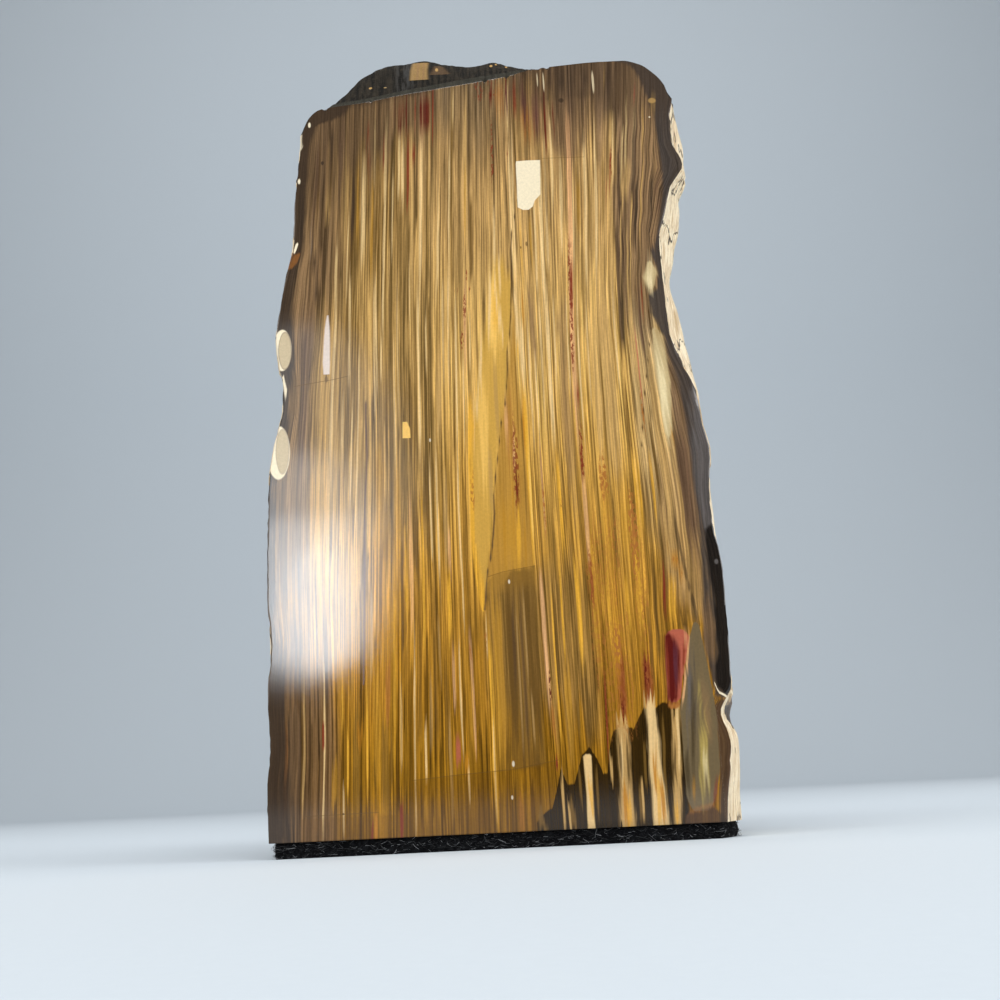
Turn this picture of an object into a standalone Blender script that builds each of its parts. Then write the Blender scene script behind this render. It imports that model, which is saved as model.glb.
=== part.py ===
"""A length of petrified log, sawn lengthwise, polished and stood on a thin felt pad.

The log is modelled whole, then it gets the cuts that the real one has: a saw cut along its
length for the polished face, a saw cut across its base, and a rough break across its top.
The face looks along -Y, +X is to the right of the face and +Z is up. The origin is in the
middle of the footprint, on the surface that the pad rests on.
"""

import math

import bmesh
import bpy
from mathutils import Vector, noise

MM = 0.001

# Felt pad under the sawn base
FELT_THICKNESS = 2.0 * MM
FELT_INSET = 0.6 * MM
FELT_CORNER_RADIUS = 1.6 * MM
FELT_OUTLINE_STEPS = 60
GLUE_GAP = 0.3 * MM

# Sawn base and the length of log that the cuts are made in
BASE_HEIGHT = FELT_THICKNESS + GLUE_GAP
BLANK_BOTTOM = -8.0 * MM
BLANK_TOP = 146.0 * MM
LOG_MEAN_RADIUS = 34.0 * MM
LOG_SEGMENTS = 104
LOG_RINGS = 48

# Left and right edges of the polished face: height above the pad's underside and distance from
# the log's middle line, both in millimetres
LEFT_EDGE = [
    (0, 36.1), (9, 36.5), (15.5, 36.1), (24, 36.5), (31, 36.0), (38, 36.6), (48, 36.7), (57, 36.5),
    (64, 35.5), (69, 34.4), (73, 34.3), (77, 35.0), (82, 35.4), (88, 34.6), (93, 33.8), (98, 32.7),
    (104, 32.5), (113, 31.8), (119, 31.3), (146, 31.3),
]
RIGHT_EDGE = [
    (0, 30.9), (5, 31.3), (10, 32.2), (14, 32.6), (18, 31.5), (22, 33.5), (30, 33.8), (40, 33.9),
    (48, 33.0), (52, 33.0), (59, 33.7), (64, 32.9), (69, 32.5), (74, 30.6), (80, 29.0), (87, 28.8),
    (92, 28.7), (96, 28.7), (101, 30.1), (106, 31.4), (110, 33.8), (115, 32.3), (119, 32.4),
    (123, 33.1), (146, 33.1),
]

# How far the weathered right side swells out behind the face, against height
RIGHT_SWELL = [
    (0, 3.8), (9, 3.1), (14, 2.8), (19, 3.2), (22, 1.5), (30, 1.1), (38, 1.0), (50, 1.8), (57, 1.0),
    (66, 1.0), (73, 2.8), (79, 3.8), (85, 3.2), (90, 2.2), (97, 3.6), (104, 3.2), (109, 1.6),
    (116, 3.5), (120, 3.0), (124, 1.4), (146, 1.2),
]

# Half width and depth of the log behind the face, away from the edges of the face, against height
SIDE_WIDTH = [(0, 35.8), (45, 36.2), (72, 34.2), (95, 32.6), (118, 33.0), (146, 32.4)]
DEPTH = [(0, 43.0), (28, 44.5), (58, 43.0), (90, 40.0), (118, 39.0), (146, 37.0)]

# Top edge of the polished face: distance right of the middle line and height
TOP_EDGE = [
    (-42, 100), (-33, 114.5), (-31.3, 119.3), (-30, 122.4), (-28, 124.0), (-25, 124.5), (-21, 124.9),
    (-14, 126.1), (-7, 127.1), (0, 128.1), (5, 128.9), (9, 130.0), (14, 130.5), (21, 130.9),
    (25, 130.9), (28, 130.0), (30, 128.4), (32, 125.8), (33.2, 122.6), (36, 116), (44, 100),
]

# Height of the broken ridge above the face's top edge, against distance right of the middle line
RIDGE_RISE = [
    (-44, 0), (-28.5, 0.2), (-26.5, 2.6), (-24, 4.6), (-21, 7.4), (-17, 8.6), (-11, 8.6), (-6, 7.8),
    (-2, 6.4), (3, 5.4), (8, 2.9), (12, 0.6), (16, 0), (44, 0),
]
RIDGE_SETBACK = 4.2 * MM
TOP_SLOPE_BACK = 0.16
BREAK_COLUMNS = 36
BREAK_ROWS = 20
BREAK_HALF_WIDTH = 44.0 * MM
BREAK_BACK = 54.0 * MM

# Natural surface: boxy oval section with broad flutes and finer ribs along the grain
SECTION_POWER = 2.35
FLUTE_HEIGHT = 0.45 * MM
FLUTES_ROUND = 14
FLUTE_TURN_LENGTH = 260.0 * MM
LUMP_HEIGHT = 1.2 * MM
RIB_HEIGHT = 1.0 * MM
RIB_WIDTH = 6.5 * MM
RIB_LENGTH = 46.0 * MM
SWELL_START = math.radians(13)
SWELL_END = math.radians(70)

STONE_COLOUR = (0.27, 0.17, 0.07, 1.0)
STONE_ROUGHNESS = 0.12
FELT_COLOUR = (0.012, 0.012, 0.014, 1.0)
FELT_ROUGHNESS = 0.95


def along(keys, place):
    """Smooth curve through hand-placed (place, value) pairs in millimetres, read at a place in metres."""
    at = place / MM
    if at <= keys[0][0]:
        return keys[0][1] * MM
    if at >= keys[-1][0]:
        return keys[-1][1] * MM
    index = max(i for i, key in enumerate(keys[:-1]) if key[0] <= at)
    (x0, y0), (x1, y1) = keys[index], keys[index + 1]
    span = x1 - x0
    slope_in = key_slope(keys, index)
    slope_out = key_slope(keys, index + 1)
    t = (at - x0) / span
    value = (
        (2 * t**3 - 3 * t**2 + 1) * y0
        + (t**3 - 2 * t**2 + t) * span * slope_in
        + (3 * t**2 - 2 * t**3) * y1
        + (t**3 - t**2) * span * slope_out
    )
    return value * MM


def key_slope(keys, index):
    """Slope at one key, flat where the curve turns so that it never overshoots a key."""
    if index in (0, len(keys) - 1):
        return 0.0
    before = (keys[index][1] - keys[index - 1][1]) / (keys[index][0] - keys[index - 1][0])
    after = (keys[index + 1][1] - keys[index][1]) / (keys[index + 1][0] - keys[index][0])
    if before * after <= 0:
        return 0.0
    return 2 * before * after / (before + after)


def ease(low, high, value):
    """Smooth step from 0 at low to 1 at high."""
    t = min(1.0, max(0.0, (value - low) / (high - low)))
    return t * t * (3 - 2 * t)


def log_radius(angle, height):
    """Distance of the natural surface from the middle line, at an angle from +X towards +Y."""
    across, back = math.cos(angle), math.sin(angle)
    edge = along(RIGHT_EDGE, height) if across > 0 else along(LEFT_EDGE, height)
    side = along(SIDE_WIDTH, height)
    width = side + (edge - side) * ease(0.5, 0.98, abs(across))
    oval = abs(across / width) ** SECTION_POWER + abs(back / along(DEPTH, height)) ** SECTION_POWER
    radius = oval ** (-1 / SECTION_POWER)

    swell = ease(0, SWELL_START, angle) * (1 - ease(SWELL_START, SWELL_END, angle))
    radius += along(RIGHT_SWELL, height) * swell

    behind_face = ease(0.1, 0.5, back)
    flute = math.sin(FLUTES_ROUND * (angle + height / FLUTE_TURN_LENGTH))
    ring = Vector((across, back, 0)) * LOG_MEAN_RADIUS
    lump = noise.noise(Vector((ring.x, ring.y, height * 0.8)) / (24 * MM))
    rib = noise.noise(Vector((ring.x / RIB_WIDTH, ring.y / RIB_WIDTH, height / RIB_LENGTH)))
    return radius + behind_face * (FLUTE_HEIGHT * flute + LUMP_HEIGHT * lump + RIB_HEIGHT * rib)


def top_height(across, back):
    """Height of the broken top, at a distance right of the middle line and behind the face."""
    rise = along(RIDGE_RISE, across) * ease(0.1 * MM, RIDGE_SETBACK, back)
    fall = TOP_SLOPE_BACK * max(0.0, back - RIDGE_SETBACK)
    spot = Vector((across, back, 0))
    rough = 2.2 * MM * noise.noise(spot / (11 * MM)) + 1.0 * MM * noise.noise(spot / (4 * MM))
    return along(TOP_EDGE, across) + rise - fall + rough * ease(0.5 * MM, 7 * MM, back)


def make_material(name, colour, roughness):
    """Plain surface finish with one colour and roughness."""
    material = bpy.data.materials.new(name)
    material.use_nodes = True
    surface = material.node_tree.nodes["Principled BSDF"]
    surface.inputs["Base Color"].default_value = colour
    surface.inputs["Roughness"].default_value = roughness
    surface.inputs["Metallic"].default_value = 0.0
    return material


def new_object(name, mesh, collection):
    """Object for a mesh or curve, linked to its collection."""
    made = bpy.data.objects.new(name, mesh)
    collection.objects.link(made)
    return made


def mesh_from(bm, name):
    """Mesh data from a finished bmesh."""
    mesh = bpy.data.meshes.new(name)
    bmesh.ops.recalc_face_normals(bm, faces=bm.faces)
    bm.to_mesh(mesh)
    bm.free()
    return mesh


def make_log(collection):
    """Whole log: a ringed cylinder whose points are moved out to the natural surface."""
    bm = bmesh.new()
    bmesh.ops.create_cone(
        bm,
        cap_ends=True,
        segments=LOG_SEGMENTS,
        radius1=LOG_MEAN_RADIUS,
        radius2=LOG_MEAN_RADIUS,
        depth=BLANK_TOP - BLANK_BOTTOM,
    )
    bmesh.ops.translate(bm, verts=bm.verts, vec=(0, 0, (BLANK_TOP + BLANK_BOTTOM) / 2))
    step = (BLANK_TOP - BLANK_BOTTOM) / LOG_RINGS
    for ring in range(1, LOG_RINGS):
        everything = bm.verts[:] + bm.edges[:] + bm.faces[:]
        level = (0, 0, BLANK_BOTTOM + step * ring)
        bmesh.ops.bisect_plane(bm, geom=everything, plane_co=level, plane_no=(0, 0, 1))
    half_step = math.pi / LOG_SEGMENTS
    for vert in bm.verts:
        angle = math.atan2(vert.co.y, vert.co.x) + half_step
        radius = log_radius(angle, vert.co.z)
        vert.co.x = radius * math.cos(angle)
        vert.co.y = radius * math.sin(angle)
    return new_object("petrified_wood", mesh_from(bm, "petrified_wood"), collection)


def make_block_cutter(name, low, high, collection):
    """Square block between two corners, for a straight saw cut."""
    bm = bmesh.new()
    bmesh.ops.create_cube(bm, size=1.0)
    low, high = Vector(low), Vector(high)
    bmesh.ops.scale(bm, verts=bm.verts, vec=high - low)
    bmesh.ops.translate(bm, verts=bm.verts, vec=(low + high) / 2)
    return new_object(name, mesh_from(bm, name), collection)


def make_break_cutter(collection):
    """Everything above the broken top: a sheet shaped to the break, drawn up into a solid."""
    bm = bmesh.new()
    bmesh.ops.create_grid(bm, x_segments=BREAK_COLUMNS, y_segments=BREAK_ROWS, size=1.0)
    for vert in bm.verts:
        across = vert.co.x * BREAK_HALF_WIDTH
        row = (vert.co.y + 1) / 2
        back = BREAK_BACK * row**1.6 - 1.5 * MM
        vert.co = Vector((across, back, top_height(across, max(0.0, back))))
    sheet = bm.faces[:]
    raised = bmesh.ops.extrude_face_region(bm, geom=sheet)["geom"]
    for vert in [item for item in raised if isinstance(item, bmesh.types.BMVert)]:
        vert.co.z = BLANK_TOP + 10 * MM
    return new_object("top_break", mesh_from(bm, "top_break"), collection)


def cut(target, cutter):
    """Boolean difference that stays on the target, with its cutter hidden."""
    cutter.hide_render = True
    cutter.display_type = "WIRE"
    modifier = target.modifiers.new("cut_" + cutter.name, "BOOLEAN")
    modifier.operation = "DIFFERENCE"
    modifier.solver = "EXACT"
    modifier.object = cutter


def rounded_corner(before, corner, after, radius, steps=6):
    """Points of an arc that rounds one corner of an outline."""
    to_before = (before - corner).normalized()
    to_after = (after - corner).normalized()
    half = to_before.angle(to_after) / 2
    centre = corner + (to_before + to_after).normalized() * radius / math.sin(half)
    start = (corner + to_before * radius / math.tan(half) - centre).normalized()
    end = (corner + to_after * radius / math.tan(half) - centre).normalized()
    return [centre + radius * start.slerp(end, step / steps) for step in range(steps + 1)]


def felt_outline():
    """Outline of the pad: the base's own outline drawn in, with its two front corners rounded."""
    start_angle = math.asin(FELT_INSET / LOG_MEAN_RADIUS)
    side = []
    for step in range(FELT_OUTLINE_STEPS + 1):
        angle = start_angle + (math.pi - 2 * start_angle) * step / FELT_OUTLINE_STEPS
        radius = log_radius(angle, BASE_HEIGHT) - FELT_INSET
        side.append(Vector((radius * math.cos(angle), radius * math.sin(angle), 0)))
    right, left = side[0], side[-1]
    right_arc = rounded_corner(left, right, side[2], FELT_CORNER_RADIUS)
    left_arc = rounded_corner(side[-3], left, right, FELT_CORNER_RADIUS)
    return right_arc + side[2:-2] + left_arc


def make_felt(collection):
    """Pad cut from flat felt: a filled flat curve with half its thickness each way."""
    curve = bpy.data.curves.new("felt_pad", "CURVE")
    curve.dimensions = "2D"
    curve.fill_mode = "BOTH"
    curve.extrude = FELT_THICKNESS / 2
    outline = felt_outline()
    spline = curve.splines.new("POLY")
    spline.points.add(len(outline) - 1)
    for point, place in zip(spline.points, outline):
        point.co = (place.x, place.y, 0, 1)
    spline.use_cyclic_u = True
    felt = new_object("felt_pad", curve, collection)
    felt.location.z = FELT_THICKNESS / 2
    return felt


def centre_over_origin(pieces, stone):
    """Slide the pieces so that the middle of the stone's outline stands over the origin."""
    bpy.context.view_layer.update()
    shaped = stone.evaluated_get(bpy.context.evaluated_depsgraph_get())
    corners = [shaped.matrix_world @ Vector(corner) for corner in shaped.bound_box]
    middle_x = (min(c.x for c in corners) + max(c.x for c in corners)) / 2
    middle_y = (min(c.y for c in corners) + max(c.y for c in corners)) / 2
    for piece in pieces:
        piece.location.x -= middle_x
        piece.location.y -= middle_y


def main():
    """Build the stone and its pad."""
    for old in list(bpy.data.objects):
        bpy.data.objects.remove(old, do_unlink=True)
    parts = bpy.data.collections.new("petrified_wood_specimen")
    cutters = bpy.data.collections.new("cutters")
    bpy.context.scene.collection.children.link(parts)
    bpy.context.scene.collection.children.link(cutters)

    far = 90 * MM
    stone = make_log(parts)
    face_cut = make_block_cutter("face_cut", (-far, -far, -far), (far, 0, BLANK_TOP + far), cutters)
    base_cut = make_block_cutter("base_cut", (-far, -far, -far), (far, far, BASE_HEIGHT), cutters)
    top_break = make_break_cutter(cutters)
    for cutter in (face_cut, base_cut, top_break):
        cut(stone, cutter)
    stone.data.materials.append(make_material("petrified_wood", STONE_COLOUR, STONE_ROUGHNESS))

    felt = make_felt(parts)
    felt.data.materials.append(make_material("felt", FELT_COLOUR, FELT_ROUGHNESS))
    centre_over_origin([stone, felt, face_cut, base_cut, top_break], stone)


main()
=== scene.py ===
"""Looks of a petrified wood specimen: a sawn, polished half log that stands on a thin felt pad.

Lengths are in millimetres until a mesh is finished. On the stone, x runs right from the log's
middle line, y runs back from the polished face and z runs up from the underside of the pad.
"""

import logging
import math
from dataclasses import dataclass
from enum import Enum
from typing import Callable, ClassVar, Mapping, Sequence

import bpy
import numpy as np
from mathutils import Matrix, Vector, noise


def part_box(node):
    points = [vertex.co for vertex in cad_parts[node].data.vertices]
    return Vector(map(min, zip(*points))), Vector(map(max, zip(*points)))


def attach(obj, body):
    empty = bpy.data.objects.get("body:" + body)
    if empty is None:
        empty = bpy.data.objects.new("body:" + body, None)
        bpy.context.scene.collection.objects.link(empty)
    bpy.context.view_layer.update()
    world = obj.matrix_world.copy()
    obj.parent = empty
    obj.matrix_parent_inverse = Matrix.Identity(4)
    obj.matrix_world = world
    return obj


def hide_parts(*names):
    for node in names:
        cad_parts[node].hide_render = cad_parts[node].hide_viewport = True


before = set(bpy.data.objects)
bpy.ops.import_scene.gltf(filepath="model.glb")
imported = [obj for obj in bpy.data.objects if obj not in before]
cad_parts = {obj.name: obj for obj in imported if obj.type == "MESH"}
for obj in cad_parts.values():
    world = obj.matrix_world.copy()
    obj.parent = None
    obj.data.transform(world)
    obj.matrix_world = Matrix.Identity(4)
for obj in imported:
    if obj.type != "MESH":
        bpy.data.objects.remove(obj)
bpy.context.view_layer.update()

log = logging.getLogger("petrified_wood")

MM = 0.001
STONE = "petrified_wood"
PAD = "felt_pad"
BODY = "root"
STONE_LOW, STONE_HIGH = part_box(STONE)
SHIFT_X = STONE_LOW.x / MM + 36.7
SHIFT_Y = STONE_LOW.y / MM

Keys = Sequence[tuple[float, float]]
Colour = tuple[float, float, float]


class Curve:
    """A smooth curve through given (place, value) keys, flat where it turns."""

    def __init__(self, keys: Keys) -> None:
        """Fit the slopes once.

        Args:
            keys: Pairs of place and value, in rising order of place.
        """
        table = np.array(keys, float)
        self.places, self.values = table[:, 0], table[:, 1]
        steps = np.diff(self.values) / np.diff(self.places)
        before, after = steps[:-1], steps[1:]
        same_way = before * after > 0
        total = np.where(same_way, before + after, 1.0)
        inner = np.where(same_way, 2 * before * after / total, 0.0)
        self.slopes = np.concatenate([[0.0], inner, [0.0]])

    def __call__(self, places: np.ndarray | float) -> np.ndarray:
        """Read the curve.

        Args:
            places: Where to read it.

        Returns:
            The values there, held level past both ends.
        """
        at = np.clip(np.asarray(places, float), self.places[0], self.places[-1])
        index = np.clip(np.searchsorted(self.places, at, side="right") - 1, 0, len(self.places) - 2)
        span = self.places[index + 1] - self.places[index]
        t = (at - self.places[index]) / span
        start = (2 * t**3 - 3 * t**2 + 1) * self.values[index]
        end = (3 * t**2 - 2 * t**3) * self.values[index + 1]
        leave = (t**3 - 2 * t**2 + t) * span * self.slopes[index]
        arrive = (t**3 - t**2) * span * self.slopes[index + 1]
        return start + leave + end + arrive


def ease(low: float, high: float, value: np.ndarray | float) -> np.ndarray:
    """Smooth step."""
    t = np.clip((np.asarray(value, float) - low) / (high - low), 0, 1)
    return t * t * (3 - 2 * t)


def lattice_noise(x: np.ndarray, y: np.ndarray, z: np.ndarray | float = 0.0) -> np.ndarray:
    """Blender's own gradient noise at many points.

    Args:
        x: First coordinate, one cell a unit.
        y: Second coordinate.
        z: Third coordinate.

    Returns:
        Values from about -1 to 1, in the shape of x.
    """
    x, y, z = np.broadcast_arrays(np.asarray(x, float), y, z)
    points = zip(x.ravel(), y.ravel(), z.ravel())
    return np.array([noise.noise(Vector(p)) for p in points]).reshape(x.shape)


@dataclass(frozen=True)
class LogShape:
    """Outline, section and break of the half log, with the same keys as the CAD model."""

    base: float = 2.3
    mean_radius: float = 34.0
    left_edge: Keys = (
        (0, 36.1), (9, 36.5), (15.5, 36.1), (24, 36.5), (31, 36.0), (38, 36.6), (48, 36.7), (57, 36.5),
        (64, 35.5), (69, 34.4), (73, 34.3), (77, 35.0), (82, 35.4), (88, 34.6), (93, 33.8), (98, 32.7),
        (104, 32.5), (113, 31.8), (119, 31.3), (146, 31.3),
    )
    right_edge: Keys = (
        (0, 30.9), (5, 31.3), (10, 32.2), (14, 32.6), (18, 31.5), (22, 33.5), (30, 33.8), (40, 33.9),
        (48, 33.0), (52, 33.0), (59, 33.7), (64, 32.9), (69, 32.5), (74, 30.6), (80, 29.0), (87, 28.8),
        (92, 28.7), (96, 28.7), (101, 30.1), (106, 31.4), (110, 33.8), (115, 32.3), (119, 32.4),
        (123, 33.1), (146, 33.1),
    )
    right_swell: Keys = (
        (0, 3.8), (9, 3.1), (14, 2.8), (19, 3.2), (22, 1.5), (30, 1.1), (38, 1.0), (50, 1.8), (57, 1.0),
        (66, 1.0), (73, 2.8), (79, 3.8), (85, 3.2), (90, 2.2), (97, 3.6), (104, 3.2), (109, 1.6),
        (116, 3.5), (120, 3.0), (124, 1.4), (146, 1.2),
    )
    side_width: Keys = ((0, 35.8), (45, 36.2), (72, 34.2), (95, 32.6), (118, 33.0), (146, 32.4))
    depth: Keys = ((0, 43.0), (28, 44.5), (58, 43.0), (90, 40.0), (118, 39.0), (146, 37.0))
    top_edge: Keys = (
        (-42, 100), (-33, 114.5), (-31.3, 119.3), (-30, 122.4), (-28, 124.0), (-25, 124.5),
        (-21, 124.9), (-14, 126.1), (-7, 127.1), (0, 128.1), (5, 128.9), (9, 130.0), (14, 130.5),
        (21, 130.9), (25, 130.9), (28, 130.0), (30, 128.4), (32, 125.8), (33.2, 122.6), (36, 116),
        (44, 100),
    )
    ridge_rise: Keys = (
        (-44, 0), (-28.5, 0.2), (-26.5, 2.6), (-24, 4.6), (-21, 7.4), (-17, 8.6), (-11, 8.6),
        (-6, 7.8), (-2, 6.4), (3, 5.4), (8, 2.9), (12, 0.6), (16, 0), (44, 0),
    )
    ridge_setback: float = 4.2
    slope_back: float = 0.16
    section_power: float = 2.35
    flutes_round: int = 14
    swell_end: float = math.radians(70)
    swell_start: float = math.radians(13)

    def radius(self, angle: np.ndarray, height: np.ndarray) -> np.ndarray:
        """Natural surface of the log.

        Args:
            angle: Angles from +X towards +Y, in radians.
            height: Heights, in the shape of angle.

        Returns:
            Distances from the middle line.
        """
        across, back = np.cos(angle), np.sin(angle)
        edge = np.where(across > 0, Curve(self.right_edge)(height), Curve(self.left_edge)(height))
        side = Curve(self.side_width)(height)
        width = side + (edge - side) * ease(0.5, 0.98, np.abs(across))
        oval = np.abs(across / width) ** self.section_power
        oval = oval + np.abs(back / Curve(self.depth)(height)) ** self.section_power
        reach = oval ** (-1 / self.section_power)
        swell = ease(0, self.swell_start, angle) * (1 - ease(self.swell_start, self.swell_end, angle))
        reach = reach + Curve(self.right_swell)(height) * swell
        flute = np.sin(self.flutes_round * (angle + height / 260.0))
        ring_x, ring_y = across * self.mean_radius, back * self.mean_radius
        lump = lattice_noise(ring_x / 24, ring_y / 24, height / 30)
        rib = lattice_noise(ring_x / 6.5, ring_y / 6.5, height / 46)
        return reach + ease(0.1, 0.5, back) * (0.45 * flute + 1.2 * lump + 1.0 * rib)

    def top(self, across: np.ndarray, back: np.ndarray, setback: float = 0.1) -> np.ndarray:
        """Broken top of the log.

        Args:
            across: Distances right of the middle line.
            back: Distances behind the face.
            setback: How far behind the face the broken ridge starts to rise.

        Returns:
            Heights of the break.
        """
        rise = Curve(self.ridge_rise)(across) * ease(setback, self.ridge_setback, back)
        fall = self.slope_back * np.maximum(0, back - self.ridge_setback)
        rough = 2.2 * lattice_noise(across / 11, back / 11) + lattice_noise(across / 4, back / 4)
        return Curve(self.top_edge)(across) + rise - fall + rough * ease(0.5, 7, back)


def link_object(name: str, data: bpy.types.ID) -> bpy.types.Object:
    """Stand a mesh, a light or a camera in the scene.

    Args:
        name: The object's name.
        data: What it shows.

    Returns:
        The object.
    """
    made = bpy.data.objects.new(name, data)
    bpy.context.scene.collection.objects.link(made)
    return made


def make_mesh(name: str, points: np.ndarray, faces: list[Sequence[int]]) -> bpy.types.Mesh:
    """Make a smooth mesh from points in metres.

    Args:
        name: The mesh's name.
        points: Points, with x, y and z.
        faces: Point numbers of each face.

    Returns:
        The mesh.
    """
    mesh = bpy.data.meshes.new(name)
    mesh.from_pydata(points.tolist(), [], faces)
    mesh.shade_smooth()
    return mesh


def quads_over(numbers: np.ndarray) -> np.ndarray:
    """Corners of the quads over a grid of point numbers, rows first."""
    corners = [numbers[:-1, :-1], numbers[:-1, 1:], numbers[1:, 1:], numbers[1:, :-1]]
    return np.stack(corners, axis=-1).reshape(-1, 4)


def in_metres(points: np.ndarray) -> np.ndarray:
    """Move points of the stone to the CAD's place, in metres."""
    return (points.reshape(-1, 3) + [SHIFT_X, SHIFT_Y, 0]) * MM


def store_values(mesh: bpy.types.Mesh, name: str, values: np.ndarray) -> None:
    """Store a number for each point of a mesh, or a colour and its cover."""
    kind, field = ("FLOAT_COLOR", "color") if values.ndim > 1 else ("FLOAT", "value")
    mesh.attributes.new(name, kind, "POINT").data.foreach_set(field, values.ravel())


class Facing(Enum):
    """Material slots of the stone, one for each kind of surface."""

    POLISHED = 0
    WEATHERED = 1
    BROKEN = 2
    SAWN = 3


class Stone:
    """Mesh of the half log: one closed skin of gridded patches that share their edges."""

    FACE_COLUMNS = 1000
    COLUMNS_PER_BREAK = 8
    ROWS = 128
    LEAN_BELOW: Keys = (
        (-36, 0.035), (-25, 0.02), (-16, 0.02), (-8, 0.006), (0, 0.008), (5, -0.012), (20, 0.0), (33, -0.02),
    )
    LEAN_ABOVE: Keys = (
        (-36, 0.02), (-25, 0.008), (-15, 0.012), (-8, 0.04), (0, 0.035), (8, 0.045), (15, 0.06), (20, 0.075),
        (26, 0.1), (33, 0.06),
    )
    SIDE_STEPS = 48
    ARRIS = 0.22
    SHARP_ANGLE = math.radians(38)
    RIGHT_RIND: Keys = (
        (0, 1.0), (19.3, 1.0), (20.7, -1.2), (43, -1.2), (45, 0.35), (54, 0.35), (56, -0.4), (58, 0.8),
        (67, 1.0), (109, 1.0), (110, -1.2), (111.2, -1.2), (112, 1.0), (121.5, 1.0), (123, -1.2), (146, -1.2),
    )
    LEFT_RIND: Keys = (
        (0, -1.0), (28, -1.0), (30, 0.3), (34, 0.3), (36, -0.8), (56, -0.8), (58, 1.0), (66.5, 1.0), (68, 0.1),
        (75, 0.1), (76, 1.0), (83, 1.0), (85, -0.8), (96, -0.8), (97.2, 0.8), (99.2, 0.8), (100.5, -0.8),
        (109, -0.8), (110, 0.6), (111, 0.6), (112, -0.6), (115, 0.4), (119, 0.4), (121, -0.8), (146, -0.8),
    )

    def __init__(self) -> None:
        """Settle the counts that follow from the driving ones."""
        self.shape = LogShape()
        self.break_columns = self.FACE_COLUMNS // self.COLUMNS_PER_BREAK
        rows = {*range(22), *range(22, 49, 2), *range(49, self.ROWS, 3), self.ROWS - 1, self.ROWS}
        self.face_rows = sorted(rows)
        self.round_steps = self.break_columns + 2 * self.SIDE_STEPS
        self.points: list[np.ndarray] = []
        self.quads: list[np.ndarray] = []
        self.facings: list[np.ndarray] = []
        self.strips: list[tuple[list[int], Facing]] = []
        self.count = 0

    def store(self, points: np.ndarray) -> np.ndarray:
        """Keep a grid of points.

        Args:
            points: Points, with x, y and z on the last axis.

        Returns:
            Their numbers, in the grid's own shape.
        """
        flat = points.reshape(-1, 3)
        numbers = np.arange(self.count, self.count + len(flat)).reshape(points.shape[:-1])
        self.points.append(flat)
        self.count += len(flat)
        return numbers

    def skin(self, numbers: np.ndarray, facing: Facing) -> None:
        """Cover a grid of numbered points with quads.

        Args:
            numbers: Point numbers, rows first.
            facing: The kind of surface.
        """
        quads = quads_over(numbers)
        self.quads.append(quads)
        self.facings.append(np.full(len(quads), facing.value))

    def add_strip(self, numbers: Sequence[int], facing: Facing) -> None:
        """Keep one face with more corners than a quad."""
        self.strips.append(([int(n) for n in numbers], facing))

    def arris_width(self, place: np.ndarray, seed: float) -> np.ndarray:
        """Width of the worn edge of the face, wider where it is chipped."""
        chips = lattice_noise(place / 2.1, seed) + 0.6 * lattice_noise(place / 0.9, seed + 7)
        return self.ARRIS * (0.75 + 2.6 * ease(0.42, 0.85, chips))

    def edge_wobble(self, height: np.ndarray, seed: float) -> np.ndarray:
        """Small inward bites in the outline of the face."""
        rough = lattice_noise(height / 1.7, seed) + 0.5 * lattice_noise(height / 0.8, seed + 3)
        return 0.16 * np.maximum(0, rough + 0.25) * ease(0, 4, height - self.shape.base)

    def face_columns(self) -> np.ndarray:
        """Places of the columns between the edges, from 0 to 1, closer together near both edges."""
        even = np.linspace(0, 1, self.FACE_COLUMNS - 1)
        return even - 0.1 * np.sin(2 * math.pi * even) / (2 * math.pi)

    def row_places(self) -> np.ndarray:
        """Places of the rows between the base and the break, from 0 to 1."""
        return np.concatenate([[0.0], np.linspace(0.001, 0.998, self.ROWS - 1), [1.0]])

    def grain_line(self, start: np.ndarray, height: np.ndarray) -> np.ndarray:
        """Follow lines of the grain up and down the face.

        Args:
            start: Distances right of the middle line where the lines pass half height.
            height: Heights.

        Returns:
            Distances right of the middle line at those heights.
        """
        start, height = np.broadcast_arrays(start, height)
        upper = 9 * np.log1p(np.exp((height - 84) / 9))
        sway = 0.4 * lattice_noise(start / 9, height / 36, 3.0) + 0.1 * lattice_noise(start / 2.4, height / 19, 9.0)
        return start + Curve(self.LEAN_BELOW)(start) * (height - 65) + Curve(self.LEAN_ABOVE)(start) * upper + sway

    def column_x(self, place: np.ndarray, height: np.ndarray) -> np.ndarray:
        """Columns of the face: lines of the grain, drawn to the outline near both edges.

        Args:
            place: 0 at the left edge and 1 at the right edge.
            height: Heights.

        Returns:
            Distances right of the middle line.
        """
        pull = np.zeros(np.broadcast(place, height).shape)
        for edge, side, start in ((self.shape.left_edge, -1.0, 0.0), (self.shape.right_edge, 1.0, 1.0)):
            near = np.abs(np.clip(height, 5, 128)[..., None] + np.array([-16, -8, 0, 8, 16]))
            broad = side * Curve(edge)(near).mean(axis=-1)
            along = self.grain_line(self.grain_starts(np.array(start)), height)
            inward = np.abs(place - start)
            pull = pull + (broad - along) * ease(0.26, 0.0, inward)
            pull = pull + (side * Curve(edge)(height) - broad) * ease(0.085, 0.0, inward)
        return self.grain_line(self.grain_starts(place), height) + pull

    def grain_starts(self, place: np.ndarray) -> np.ndarray:
        """Distances right of the middle line where columns pass half height."""
        left, right = -Curve(self.shape.left_edge)(65.0), Curve(self.shape.right_edge)(65.0)
        return left + (right - left) * place

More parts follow.
